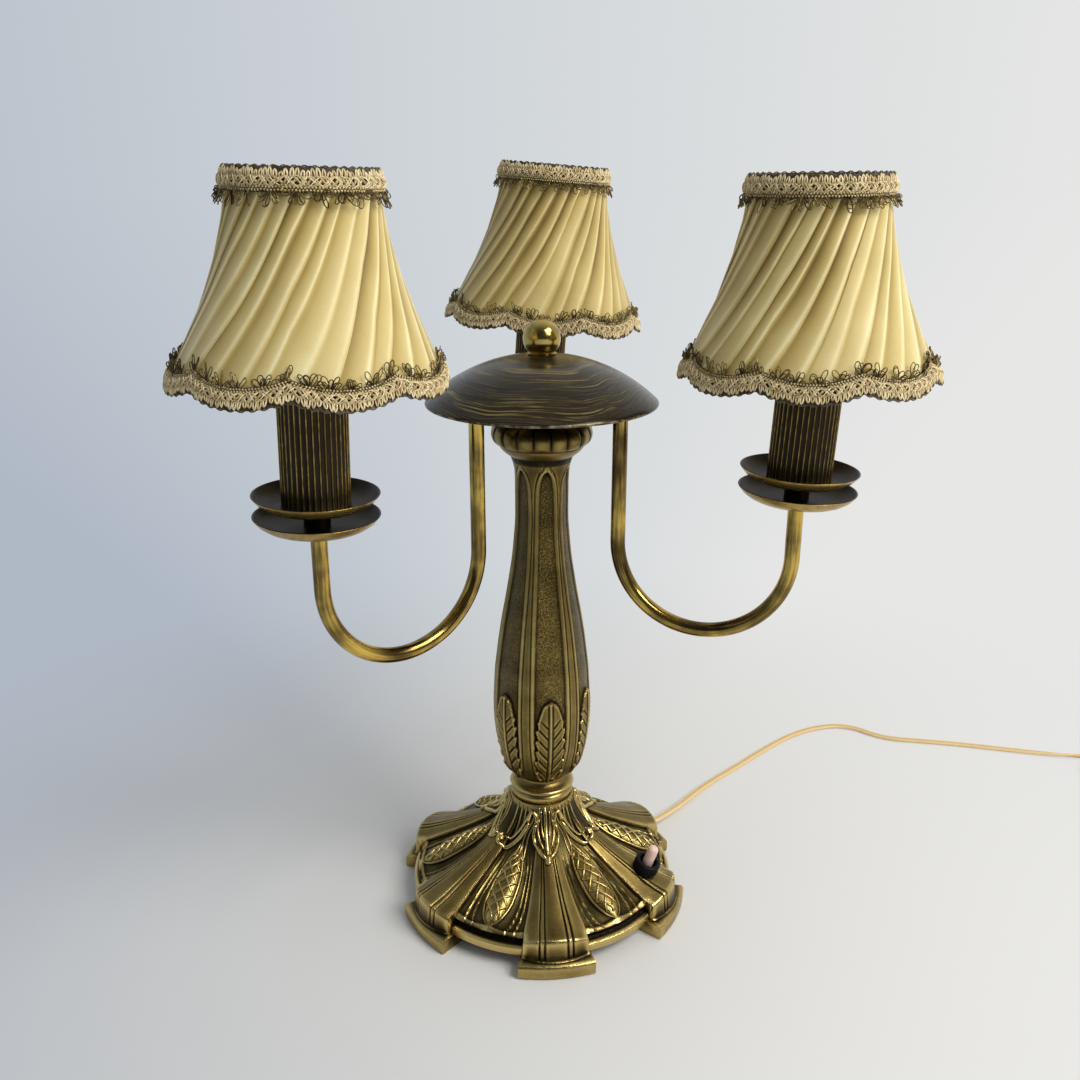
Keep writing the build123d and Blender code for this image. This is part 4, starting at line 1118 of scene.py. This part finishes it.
class LAMP_OT_column(bpy.types.Operator):
    """Builds the collar, the column with its panels and leaves, and the gadrooned capital"""

    bl_idname = "lamp.column"
    bl_label = "Column"
    bl_options = {"REGISTER", "UNDO"}

    def execute(self, context):
        for node in ("collar", "column", "capital"):
            settle(getattr(self, node)(), "antique_brass", node)
        return {"FINISHED"}

    def collar(self):
        """The turned collar, worn where it stands proud of itself a little way off."""
        profile = [(ROD_BORE, COLLAR[0][1]), *flow(COLLAR, 3), (ROD_BORE, COLUMN_FOOT)]
        piece = turned("collar_turned", profile, antique_brass(), 96, 50)
        radius, height = spots(piece)
        levels = np.unique(height.round(2))
        radii = np.array([radius[np.abs(height - z) < 0.02].max() for z in levels])
        near = np.abs(height[:, None] - levels) < 2.2
        mean = (near * radii).sum(1) / near.sum(1)
        paint(piece, "proud", 0.66 + 0.16 * np.clip(radius - mean, -1, 1))
        return piece

    def column(self):
        """The column: pointed panels that are sunk and stippled, and leaves over their feet."""
        fine, coarse = np.arange(81, 139.2, 0.62), np.arange(140, 228, 1.7)
        heights = [fine, coarse, np.arange(229, 264, 0.8), np.linspace(264.6, COLUMN_TOP, 8)]
        columns = 330
        angle = circle(columns)
        aside = np.abs((angle + 30) % 60 - 30)
        z = np.concatenate(heights)[:, None]
        radius = smooth_curve(z, *zip(*COLUMN))
        inside = (smooth_curve(z, *zip(*PANEL)) - aside) * np.pi / 180 * radius
        within = np.clip(np.minimum(z - PANEL[0][0], PANEL[-1][0] - z), 0, None)
        inside = np.minimum(inside, within)
        sunk = ease(inside, 0, 1.3)
        bead = 0.3 * hump(inside + 0.7, 0.7) * (within > 0) - 0.4 * hump(inside + 1.9, 0.6)

        # A leaf's midrib, its notched edge and the lobes between, which fade towards its tip
        cross = aside * np.pi / 180 * radius
        lobe = (z - 1.25 * cross - 81) / 7.0
        ribbed = 1 - ease(z, 122, 129)
        tip = LEAF[-1][0]
        girth = smooth_curve(np.clip(z, LEAF[0][0], tip), *zip(*LEAF))
        girth = girth * (1 + 0.09 * ribbed * np.cos(2 * pi * lobe))
        leaf = ease(girth - cross, 0, 0.8) * (z < tip)
        notch = hump((lobe % 1) - 0.5, 0.16) * ease(cross, 0.9, 2.2)
        notch = notch * (1 - ease(cross - 0.86 * girth, 0, 0.5))
        vein = 0.7 * hump(cross, 0.9) - 0.4 * hump(cross - 1.3, 0.6)
        vein = vein - 0.85 * ribbed * notch + 0.35 * hump(cross - girth + 0.8, 0.7)
        swell = 0.25 * np.cos(np.clip(cross / girth.clip(0.1), 0, 1) * pi / 2)
        radius = radius - 1.0 * sunk + bead * (1 - leaf) + leaf * (1.25 + swell + vein)

        bore = np.full(columns, ROD_BORE)
        radii = np.vstack([bore, radius, bore])
        grid = polar(COLUMN_ANGLE + angle, radii, np.vstack([[[COLUMN_FOOT]], z, [[COLUMN_TOP]]]))
        piece = shell("column_cast", grid, antique_brass(), 42)
        lift = relief(grid, 4)
        lift *= np.sign((lift[1:-1] * (leaf > 0.9)).sum() + 1e-9)
        panel = np.pad(sunk * (1 - leaf), ((1, 1), (0, 0)))
        paint(piece, "proud", 0.46 + np.clip(lift * 1.2, -0.42, 0.4) - 0.06 * panel)
        paint(piece, "stipple", panel)
        return piece

    def capital(self):
        """The capital, with lobes round its bulge."""
        ends = [(ROD_BORE, COLUMN_TOP, 0)], [(ROD_BORE, CAPITAL_TOP, 0)]
        rows = np.vstack([ends[0], flow(CAPITAL, 3), ends[1]])
        columns = LOBES * LOBE_STEPS
        off = np.abs(2 * (np.arange(columns) / LOBE_STEPS % 1) - 1)
        radius = rows[:, :1] - 0.75 * rows[:, 2:] * off**6
        grid = polar(COLUMN_ANGLE + circle(columns), radius, rows[:, 1:2])
        piece = shell("capital_cast", grid, antique_brass(), 42)
        lobed = np.clip(rows[:, 2:], 0, 1)
        paint(piece, "proud", 0.5 * (1 - lobed) + lobed * (0.08 + 0.5 * (1 - off**2) ** 0.5))
        return piece


# ------------------------------------------------------------------ canopy and finial
# The canopy is part of a ball: its centre and radius, then the canopy's rim and wall
DOME_CENTRE, DOME_RADIUS, DOME_RIM, DOME_WALL = 237.0, 90.0, 61.7, 1.2
# The finial: the height of its centre, its radius and the height of its foot
BALL_HEIGHT, BALL_RADIUS, BALL_FOOT = 335.2, 9.9, 327.1


class LAMP_OT_canopy(bpy.types.Operator):
    """Turns the lacquered canopy and the ball finial that holds it"""

    bl_idname = "lamp.canopy"
    bl_label = "Canopy"
    bl_options = {"REGISTER", "UNDO"}

    def execute(self, context):
        def arc(radius, start, end, count):
            """Points of a ball's surface between two distances from the axis."""
            angles = np.linspace(np.arcsin(start / radius), np.arcsin(end / radius), count)
            return [(radius * sin(a), DOME_CENTRE + radius * cos(a)) for a in angles]

        profile = arc(DOME_RADIUS, ROD_BORE, DOME_RIM, 40)
        lip = profile[-1][1]
        profile += [(DOME_RIM + r, lip - z) for r, z in ((0.15, 0.5), (-0.1, 1.1), (-0.7, 1.2))]
        profile += arc(DOME_RADIUS - DOME_WALL, DOME_RIM - DOME_WALL, ROD_BORE, 24)
        dome = turned("canopy", profile, brown_lacquer(), 160, 50)
        paint(dome, "rim", ease(spots(dome)[0], DOME_RIM - 1.6, DOME_RIM))

        inside = BALL_HEIGHT + 2
        profile = [(0, inside), (ROD_BORE, inside), (ROD_BORE, BALL_FOOT), (7.4, BALL_FOOT)]
        profile += [(7.6, BALL_FOOT + 0.5), (7.0, BALL_FOOT + 1.0)]
        angles = np.radians(np.linspace(-44, 90, 34))[:-1]
        profile += [(BALL_RADIUS * cos(a), BALL_HEIGHT + BALL_RADIUS * sin(a)) for a in angles]
        profile += [(0, BALL_HEIGHT + BALL_RADIUS)]
        ball = turned("ball_finial", profile, polished_brass(), 72, 50)
        settle(dome, "brown_lacquer", "dome")
        settle(ball, "brass_plain", "finial")
        return {"FINISHED"}


# ------------------------------------------------------------------ arms, pans, sleeves and bulbs
# The line of an arm: its corners' distances and heights, and the radii of its bends
ARM_CORNERS = ((8.1, 306.5), (43.2, 306.5), (43.2, 182.9), (135.6, 182.9), (135.6, 279.0))
ARM_BENDS = (10.0, 46.15, 46.15)
# The section of a pan: radii, and heights above its foot
PAN_OUTSIDE = ((4.8, 0), (19.5, 0), (22, 0.25), (24.6, 1.4), (27.4, 3.4), (29.2, 5.6), (29.6, 6.2))
PAN_INSIDE = (
    (29.5, 6.4), (29.1, 6.5), (28.7, 6.3), (28.4, 5.7), (26.6, 3.6), (24.2, 1.9), (21.8, 1),
    (19.5, 0.8), (4.8, 0.8),
)
# A line inside a pan's wall, between its outside and its inside
PAN_MIDDLE = (21.9, 24.4, 27.0, 28.8, 29.6), (0.6, 1.66, 3.6, 5.7, 6.3)
PAN_HEIGHTS = {"lower": 260.4, "upper": 270.6}
FLUTES, FLUTE_STEPS, FLUTE_DEPTH = 36, 12, 0.75
# The sleeve: radii and heights, and the bulb: radii, and heights above its foot
SLEEVE = (
    (14.4, 271.4), (15.2, 271.4), (16, 271.7), (16, 273), (16, 290), (16, 310), (16, 331),
    (16, 332.6), (15.5, 333), (14.8, 333), (14.4, 332.6),
)
BULB_FOOT, BULB_TIP = 321.7, 405.0
BULB = (
    (6.6, 0), (12.3, 9), (16.4, 20), (17.5, 30), (15.6, 46), (11, 61), (4.6, 74.6), (2.6, 79.6),
    (1, 82.8),
)


def bent_line(corners, bends):
    """A line through corners rounded by bends, in the plane of distance and height."""
    corners = np.array(corners)
    line = [corners[0]]
    for a, corner, b, bend in zip(corners, corners[1:], corners[2:], bends):
        back, on = unit(np.array([a - corner, b - corner]))
        centre = corner + bend * (back + on)
        steps = np.radians(np.linspace(0, 90, max(8, int(bend))))[:, None]
        line += list(centre - bend * (on * np.cos(steps) + back * np.sin(steps)))
    return np.array([*line, corners[-1]])


class LAMP_OT_arms(bpy.types.Operator):
    """Bends the three arms from tube"""

    bl_idname = "lamp.arms"
    bl_label = "Arms"
    bl_options = {"REGISTER", "UNDO"}

    def execute(self, context):
        line = bent_line(ARM_CORNERS, ARM_BENDS)
        run = run_lengths(line)
        steps = np.append(np.arange(0, run[-1], 1.6), run[-1])
        distance, height = (np.interp(steps, run, v) for v in line.T)
        girth, turn = context.scene.lamp_sizes.arm_tube / MM / 2, circle(24, 2 * pi)
        for side, angle in ARM_ANGLES.items():
            tube = sweep(polar(angle, distance, height), girth, polar(angle + 90, 1, 0), len(turn))
            arm = solid(f"arm_tube_{side}", *tube, tube_brass(), 50)
            lay_out(arm, steps[:, None], girth * np.cos(turn), girth * np.sin(turn))
            settle(arm, "brass_plain", f"arm_{side}")
        finish_nodes(dark_bronze(), "hub")
        return {"FINISHED"}


class LAMP_OT_candles(bpy.types.Operator):
    """Puts two drip pans, a fluted sleeve and a bulb on each arm"""

    bl_idname = "lamp.candles"
    bl_label = "Candles"
    bl_options = {"REGISTER", "UNDO"}

    def execute(self, context):
        for side in SIDES:
            place = candle_place(side)
            for level in PAN_HEIGHTS:
                self.pan(side, level, place)
            self.sleeve(side, place)
            self.bulb(side, place)
            finish_nodes(dark_bronze(), f"pan_spacer_{side}")
            finish_nodes(two_tone("plated_steel"), f"stem_nut_{side}")
            finish_nodes(two_tone("black_plastic"), f"lampholder_{side}")
            finish_nodes(polished_brass(), f"bulb_cap_{side}")
        return {"FINISHED"}

    def pan(self, side, level, place):
        """A drip pan, rubbed bright on its outer wall and a little on its lip."""
        foot = PAN_HEIGHTS[level]
        profile = [(r, foot + z) for r, z in (*PAN_OUTSIDE, *PAN_INSIDE)]
        pan = turned(f"{level}_drip_pan_{side}", profile, dark_bronze(), 96, 50, place)
        reach, height = spots(pan, place)
        outer = (height - foot < np.interp(reach, *PAN_MIDDLE)) * ease(reach, 19.6, 22.5)
        paint(pan, "rubbed", np.maximum(outer, 0.45 * ease(reach, 28.8, 29.2)))
        settle(pan, "dark_bronze", f"{level}_pan_{side}")

    def sleeve(self, side, place):
        """The fluted candle tube, rubbed on its ridges."""
        rows, columns = np.array(SLEEVE), FLUTES * FLUTE_STEPS
        off = np.abs(2 * (np.arange(columns) / FLUTE_STEPS % 1) - 1)
        ridge = np.clip(1 - off / 0.5, 0, 1) ** 0.7
        outer = (rows[:, :1] > 15.9) * (rows[:, 1:] > 272) * (rows[:, 1:] < 332)
        radius = rows[:, :1] - FLUTE_DEPTH * outer * (1 - ridge)
        grid = polar(circle(columns), radius, rows[:, 1:])
        sleeve = shell(f"candle_tube_{side}", grid, dark_bronze(), 60, place)
        paint(sleeve, "rubbed", np.where(outer, ridge, 0.7))
        settle(sleeve, "dark_bronze", f"candle_sleeve_{side}")

    def bulb(self, side, place):
        """The glass of the bulb."""
        profile = [(r, BULB_FOOT + z) for r, z in flow(BULB)]
        profile = [(0, BULB_FOOT), *profile, (0, BULB_TIP)]
        bulb = turned(f"bulb_{side}", profile, two_tone("frosted_glass"), 64, 60, place)
        settle(bulb, "frosted_glass", f"bulb_glass_{side}", body=f"bulb_{side}")


# ------------------------------------------------------------------ shades
# The cloth: heights and radii
CLOTH = ((322.0, 61.9), (332.6, 57.6), (347.0, 51.2), (368.0, 42.6), (395.0, 35.0), (418.6, 31.2))
CLOTH_LOW, CLOTH_TOP = CLOTH[0][0], CLOTH[-1][0]
SCALLOPS, SCALLOP_DROP = 8, 4.4
PLEATS, PLEAT_STEPS, PLEAT_DEPTH, SWIRL = 28, 16, 1.6, 60.0
SILK_WALL = 0.45
# The heights of the clip's hoops, the number of ribs, and the radii of the frame's and clip's wire
CLIP_HEIGHTS = (371.0, 386.0)
RIBS, RIB_GIRTH, HOOP_GIRTH = 8, 0.8, 0.7
# How far the frame stands inside the cloth
FRAME_GAP = 3.0
# How each shade sits on its clip: its tilt, its way off the bulb's axis, its lower edge and its top
SEATS = {
    "left": (0.0, 0.0, 327.6, 418.6),
    "right": (-3.3, -5.0, 321.8, 415.6),
    "back": (0.5, 0.8, 324.6, 420.0),
}
# A height in the middle of a shade, from which its braids' strands point outwards
SHADE_MIDDLE = (0, 0, 370.0)
# The length of the braids round the shade, their width, and the length of one crossing
BRAID_AROUND = {"lower": 377.0, "upper": 207.0}
BRAID_WIDTH, BRAID_WAVE = 10.2, 9.4
# One loop of the edge: along, in from the edge and off the cloth
EDGE_LOOP = ((-0.52, 4, 0.5), (-0.6, 1.8, 1.05), (0, 0.3, 0.8), (0.6, 1.8, 1.05), (0.52, 4, 0.5))
# From loop to loop, from bead to bead, and from ply to ply of a strand
EDGE_LOOP_PITCH, BEAD_PITCH, PLY_PITCH = 2.05, 1.35, 1.3
# Outwards and upwards, square off the cloth under the lower braid
LOWER_OFF = (0.889, 0.457)
# The crossing strands: place in the braid, sway, girth and tone
STRANDS = ((0, 1.9, 0.52, 0.62), (1, 1.9, 0.52, 0.5), (2, 1.9, 0.52, 0.7))
STRANDS += ((0.5, 2.3, 0.25, 0.98), (1.7, 2.2, 0.25, 0.9))


def cloth_radius(z):
    """The shade's radius at a height."""
    return smooth_curve(np.clip(z, CLOTH_LOW, CLOTH_TOP), *zip(*CLOTH))


def bulb_radius(z):
    """The bulb's radius at a height."""
    reach, height = zip(*BULB)
    return float(smooth_curve(np.array(z - BULB_FOOT), height, reach))


def shade_place(side):
    """Where a shade sits: on its candle, tilted and shifted a little, drawn to its own height."""
    tilt, shift, low, top = SEATS[side]
    lift = Matrix.Translation((0, 0, low * MM))
    height = Matrix.Diagonal((1, 1, (top - low) / (CLOTH_TOP - CLOTH_LOW), 1))
    stretch = lift @ height @ Matrix.Translation((0, 0, -CLOTH_LOW * MM))
    clip = CLIP_HEIGHTS[0] * MM
    pivot = Matrix.Translation((shift * MM, 0, clip)) @ Matrix.Rotation(radians(tilt), 4, "Y")
    return candle_place(side) @ pivot @ Matrix.Translation((0, 0, -clip)) @ stretch


def scallop_edge(side, angle):
    """Height of the shade's lower edge at an angle."""
    half = 180 / SCALLOPS
    share = (angle - SCALLOP_ANGLES[side] + half) % (2 * half) / half - 1
    return CLOTH_LOW + SCALLOP_DROP * share**2


class LAMP_OT_shades(bpy.types.Operator):
    """Pleats the silk shades and sews their braids on"""

    bl_idname = "lamp.shades"
    bl_label = "Shades"
    bl_options = {"REGISTER", "UNDO"}

    def execute(self, context):
        for number, side in enumerate(SIDES):
            place, body = shade_place(side), f"shade_{side}"
            shade = self.cloth(side, place, number)
            settle(shade, "cream_silk", f"shade_cover_{side}", body=body)
            trims = self.braid(side, place, "lower", 22 + 2 * number)
            trims += self.braid(side, place, "upper", 21 + 2 * number)
            frame_wires = self.wires(side, place)
        return {"FINISHED"}

    def wires(self, side, place):
        """The wire frame under the cloth, and the clip that grips the bulb."""
        candle = candle_place(side)
        rims, clip = Bundle(), Bundle()

        def hoop(bundle, radius, height, at, girth):
            """A ring of wire round the axis of a place."""
            ring = placed(polar(circle(96), radius, height), at)
            bundle.add(*sweep(ring, girth, ring - ring.mean(0), 8, True))

        def rod(bundle, line, angle, at, girth):
            """A wire along a line, at an angle round a place."""
            aside = placed(polar(angle + 90, 1, 0), at) - placed([0, 0, 0], at)
            bundle.add(*sweep(line, girth, aside, 8))

        heights = np.linspace(CLOTH_TOP - 1.6, CLOTH_LOW + 9.5, 24)
        inside = cloth_radius(heights) - FRAME_GAP
        for end in (0, -1):
            hoop(rims, inside[end], heights[end], place, RIB_GIRTH)
        angles = (np.arange(RIBS) + 0.5) * 360 / RIBS
        for angle in angles:
            rod(rims, placed(polar(angle, inside, heights), place), angle, place, RIB_GIRTH)
        hug = {z: bulb_radius(z) + 0.9 for z in CLIP_HEIGHTS}
        for height, radius in hug.items():
            hoop(clip, radius, height, candle, HOOP_GIRTH)
        reach = float(cloth_radius(CLIP_HEIGHTS[0])) - FRAME_GAP
        for angle in angles[::2]:
            low, high = (placed(polar(angle, hug[z], z), candle) for z in CLIP_HEIGHTS)
            rib = placed(polar(angle, reach, CLIP_HEIGHTS[0]), place)
            line = flow([high, low, low + (rib - low) * 0.5 - (0, 0, 2.0), rib], 6)
            rod(clip, line, angle, candle, HOOP_GIRTH)
        frame_wires = rims.piece(f"shade_wires_{side}", two_tone("coated_wire"))
        hoops = clip.piece(f"bulb_hoops_{side}", two_tone("plated_steel"))
        settle(frame_wires, "steel", f"shade_frame_{side}", body=f"shade_{side}")
        settle(hoops, "steel", f"bulb_clip_{side}", body=f"shade_{side}")
        return frame_wires

    def cloth(self, side, place, number):
        """One sheet of silk in knife pleats that swirl up round the shade."""
        chance = np.random.default_rng(5 + number)
        shifts = np.pad(chance.uniform(-0.17, 0.17, PLEATS - 1), 1)
        edges = np.arange(PLEATS + 1) + shifts
        across = (np.arange(PLEAT_STEPS) + 0.16) / PLEAT_STEPS
        start = (edges[:-1, None] + across * np.diff(edges)[:, None]).ravel() * 360 / PLEATS
        drop = np.clip((across - 0.8) / 0.2, 0, 1)
        rise = np.where(across < 0.8, np.clip(across / 0.8, 0, 1) ** 0.85, 1 - drop**1.2)
        depth = chance.uniform(0.35, 1.0, PLEATS)[:, None]
        sunk = (depth * (1 - rise)).ravel()
        bend = np.repeat(chance.uniform(-1.6, 1.6, PLEATS), PLEAT_STEPS)

        # The folds lie straight on the cloth, so they turn faster where it is narrow
        fall = np.linspace(0, 1, 50)
        climb = np.cumsum(1 / cloth_radius(CLOTH_TOP - fall * (CLOTH_TOP - CLOTH_LOW)))
        climb = 1 - (climb - climb[0]) / (climb[-1] - climb[0])

        def layer(share, wall):
            """Rows of the cloth at shares of the way down, a wall's thickness inside."""
            share = share[:, None]
            angle = start + SWIRL * np.interp(share, fall, climb) + bend * np.sin(pi * share)
            z = CLOTH_TOP - share * (CLOTH_TOP - scallop_edge(side, angle))
            sag = 0.35 * np.sin(pi * share) * np.sin(np.radians(angle * 7 + 40 * number))
            fade = 1.0 - 0.62 * ease(share, 0.25, 1.0)
            return polar(angle, cloth_radius(z) - PLEAT_DEPTH * fade * sunk - wall + sag, z)

        down = np.linspace(0, 1, 42)
        grid = np.concatenate([layer(down, 0.0), layer(down[::-2], SILK_WALL)])
        shade = shell(f"pleated_shade_{side}", grid, pleated_silk(), 70, place)
        shares = np.concatenate([down, down[::-2]])[:, None]
        # Painted shade in the creases, weaker towards the hem, and a painted highlight along each
        # crest
        crease_shade = sunk * (1 - 0.45 * ease(shares, 0.2, 1.0))
        crest = (0.16 * np.exp(-(((across - 0.76) / 0.07) ** 2)) * depth).ravel()
        # The back shade's silk is painted darker all over, as painted shade
        fold_base_back_shaded = 0.74 if side == "back" else 0.88
        paint(shade, "fold", fold_base_back_shaded - 0.88 * np.clip(1.25 * crease_shade, 0, 1) + crest)
        # For the weave: the cloth's millimetres round the shade and down it
        lay_out(shade, start * 0.8, shares * 104, 0)
        return shade

    def braid(self, side, place, name, seed):
        """Gimp braid: loops along the edge, crossing strands, beads, and tufts of gold wire."""
        around = BRAID_AROUND[name]
        chance = np.random.default_rng(seed)
        trim, gold = Bundle(), Bundle()
        waves = round(around / BRAID_WAVE)

        def wrap(flat):
            """Bends the flat braid round the shade: along, in from the edge, off the cloth."""
            along, inward, off = np.asarray(flat, float).T
            off = off + 0.7 * np.sin(pi * np.clip(inward / BRAID_WIDTH, 0, 1))
            angle = along / around * 360
            if name == "lower":
                z = scallop_edge(side, angle) + 0.9 * inward
                spot = polar(angle, cloth_radius(z) + LOWER_OFF[0] * off, z + LOWER_OFF[1] * off)
            else:
                z = CLOTH_TOP + 0.8 - inward
                spot = polar(angle, cloth_radius(z) + 0.75 + off, z)
            return placed(spot, place)

        def strand(steps, inward, off, girth, tone, sides=5):
            """A thread all the way round."""
            line = wrap(np.stack(np.broadcast_arrays(steps, inward, off), -1))
            tube = sweep(line, girth, line - placed(SHADE_MIDDLE, place), sides, True)
            trim.add(*tube, np.repeat(np.broadcast_to(tone, len(line)), sides))

        steps = np.arange(0, around, 1.5 if name == "lower" else 1.2)
        # A dark backing band under the strands: painted shadow in the gaps between them
        rim = ((-0.1, 0.1), (BRAID_WIDTH, 0.1), (BRAID_WIDTH, 0.4), (-0.1, 0.4))
        shadow_band = [(u, v, w) for u in steps for v, w in rim]
        trim.add(wrap(shadow_band), tube_faces(len(steps), 4, True), 0.02)

        # Loops along the edge, in fans
        count = round(around / EDGE_LOOP_PITCH)
        points, faces = sweep(flow(EDGE_LOOP, 2), 0.41, (0, 0, 1), 5)
        # Each loop is painted darker where it dips to the cloth, as painted shade
        tone = 0.12 + 0.72 * ease(points[:, 2], 0.5, 1.4)
        depth = 4.0 - points[:, 1]
        for k in range(count):
            along = (k + 0.5) * around / count
            swell = 0.66 + 0.42 * np.abs(np.sin(pi * waves * along / around))
            swell += chance.uniform(-0.06, 0.06)
            loop = points * (chance.uniform(0.85, 1.15), 1, 1)
            loop[:, 0] += along + chance.uniform(-0.14, 0.14) + chance.uniform(-0.12, 0.12) * depth
            loop[:, 1] = 4.0 - depth * swell
            trim.add(wrap(loop), faces, tone + chance.uniform(-0.12, 0.16))

        # Dark thread that shows past the edge in small arches
        arches = waves * 2
        steps = np.linspace(0, around, arches * 10, endpoint=False)
        strand(steps, 0.7 - 1.25 * np.abs(np.sin(pi * arches * steps / around)), 0.3, 0.3, 0.0)

        # Crossing strands
        steps = np.linspace(0, around, waves * 14, endpoint=False)
        wander = ((0.35, 5), (0.3, 13), (0.25, 29))
        wander = sum(a * np.sin(2 * pi * n * steps / around + n) for a, n in wander)
        ply = 0.16 * np.sin(2 * pi * steps * round(around / PLY_PITCH) / around)
        for number, sway, girth, tone in STRANDS:
            phase = 2 * pi * (steps * waves / around + number / 3) + wander
            high = 0.85 + 0.45 * np.cos(2 * phase + 0.6) + (girth < 0.4) * 0.35
            sides = 5 if girth > 0.4 else 4
            strand(steps, 5.5 + sway * np.sin(phase), high, girth, tone + ply, sides)

        # Two rows of beads
        beads = round(around / BEAD_PITCH)
        steps = np.linspace(0, around, beads * 5, endpoint=False)
        for row, shift in ((7.9, 0), (9.1, 0.5)):
            wave = np.cos(2 * pi * (steps * beads / around + shift))
            inward, girth = row + 0.12 * np.sin(steps), 0.42 * (1 + 0.42 * wave)
            # Beads are painted darker in the necks between them, as painted shade
            strand(steps, inward, 0.7 + 0.1 * wave, girth, 0.34 + 0.42 * wave)

        # Tufts of wire loops that stand off the cloth
        turn = np.linspace(0, 2 * pi, 12)
        for k in range(waves):
            middle = (k + 0.5 + chance.uniform(-0.16, 0.16)) * around / waves
            for lean in (-62, -42, -22, 0, 22, 42, 62):
                lean = radians(lean + chance.uniform(-24, 24))
                reach = chance.uniform(3.2, 7.8) * (1 if abs(lean) < 0.8 else 0.8)
                out, aside = reach * np.sin(turn / 2), chance.uniform(0.7, 1.45) * np.sin(turn)
                along = middle + aside * cos(lean) + out * sin(lean)
                inward = 9.0 + out * cos(lean) - aside * sin(lean)
                off = 0.5 + chance.uniform(0.6, 3.0) * (out / reach) ** 1.4 + 0.3 * np.sin(turn)
                points, faces = sweep(np.stack([along, inward, off], -1), 0.25, (0, 0, 1), 4)
                gold.add(wrap(points), faces, chance.uniform(0, 1))

        braid = trim.piece(f"{name}_gimp_{side}", gimp(), "tone")
        loops = gold.piece(f"{name}_loops_{side}", tinsel(), "tone")
        node = f"{'bottom' if name == 'lower' else 'top'}_braid_{side}"
        settle(braid, "gimp_braid", node, body=f"shade_{side}")
        settle(loops, "gimp_braid", body=f"shade_{side}")
        return [braid, loops]


# ------------------------------------------------------------------ switch and fixings
SWITCH_REACH, SWITCH_SURFACE, SWITCH_TILT = 66.4, 29.2, 18.5
SWITCH_COLLAR = (
    (3.4, 0), (7.1, 0), (7.4, 0.3), (7.5, 0.8), (7.5, 5.6), (7.2, 6.5), (6.4, 7), (5.5, 7),
    (5.1, 6.7), (4.9, 6), (4.8, 4.4), (4.4, 4), (3.7, 4), (3.4, 3.7),
)
BUTTON = (
    (0, -1.5), (3, -1.5), (3.1, -1.2), (3.1, 14.6), (3, 15.5), (2.6, 16.3), (1.9, 16.9),
    (1, 17.15), (0, 17.2),
)
KNURLS, KNURL_STEPS, KNURL_DEPTH = 26, 6, 0.32


class LAMP_OT_fittings(bpy.types.Operator):
    """Turns the push switch and finishes the hidden fixings"""

    bl_idname = "lamp.fittings"
    bl_label = "Fittings"
    bl_options = {"REGISTER", "UNDO"}

    def execute(self, context):
        azimuth, tilt = radians(SWITCH_ANGLE), radians(SWITCH_TILT)
        out = Vector((cos(azimuth), sin(azimuth), 0))
        across = out * cos(tilt) - Vector((0, 0, sin(tilt)))
        up = out * sin(tilt) + Vector((0, 0, cos(tilt)))
        foot = (out * SWITCH_REACH + Vector((0, 0, SWITCH_SURFACE))) * MM
        place = upright(foot, across, up)

        rows, columns = np.array(SWITCH_COLLAR), KNURLS * KNURL_STEPS
        off = np.abs(2 * (np.arange(columns) / KNURL_STEPS % 1) - 1)
        cut = KNURL_DEPTH * (rows[:, :1] > 7.3) * off**2
        grid = polar(circle(columns), rows[:, :1] - cut, rows[:, 1:])
        ring = shell("switch_ring", grid, two_tone("black_plastic"), 35, place)
        settle(ring, "black_plastic", "switch_collar")
        button = turned("push_button", BUTTON, two_tone("pink_plastic"), 48, 40, place)
        settle(button, "pale_plastic", "switch_button", body="button")
        finish_nodes(two_tone("black_plastic"), "switch_case")
        finish_nodes(two_tone("plated_steel"), "base_washer", "base_nut", "tie_rod")
        return {"FINISHED"}


# ------------------------------------------------------------------ panel
STEPS = (LAMP_OT_stage, LAMP_OT_cord, LAMP_OT_foot, LAMP_OT_column, LAMP_OT_canopy, LAMP_OT_arms)
STEPS += (LAMP_OT_candles, LAMP_OT_shades, LAMP_OT_fittings)


class LAMP_PT_panel(bpy.types.Panel):
    """Lists the lamp's colours, sizes and pieces"""

    bl_idname = "LAMP_PT_panel"
    bl_label = "Candelabra Lamp"
    bl_space_type = "VIEW_3D"
    bl_region_type = "UI"
    bl_category = "Lamp"

    def draw(self, context):
        column = self.layout.column()
        for settings in (context.scene.lamp_sizes, context.scene.lamp_colours):
            for name in settings.__annotations__:
                column.prop(settings, name)
        for step in STEPS:
            column.operator(step.bl_idname)


CLASSES = (LampSizes, LampColours, *STEPS, LAMP_PT_panel)


def register():
    for cls in CLASSES:
        bpy.utils.register_class(cls)
    bpy.types.Scene.lamp_sizes = bpy.props.PointerProperty(type=LampSizes)
    bpy.types.Scene.lamp_colours = bpy.props.PointerProperty(type=LampColours)


def unregister():
    del bpy.types.Scene.lamp_colours
    del bpy.types.Scene.lamp_sizes
    for cls in reversed(CLASSES):
        bpy.utils.unregister_class(cls)


def main():
    register()
    for step in STEPS:
        group, name = step.bl_idname.split(".")
        getattr(getattr(bpy.ops, group), name)()


if __name__ == "__main__":
    main()
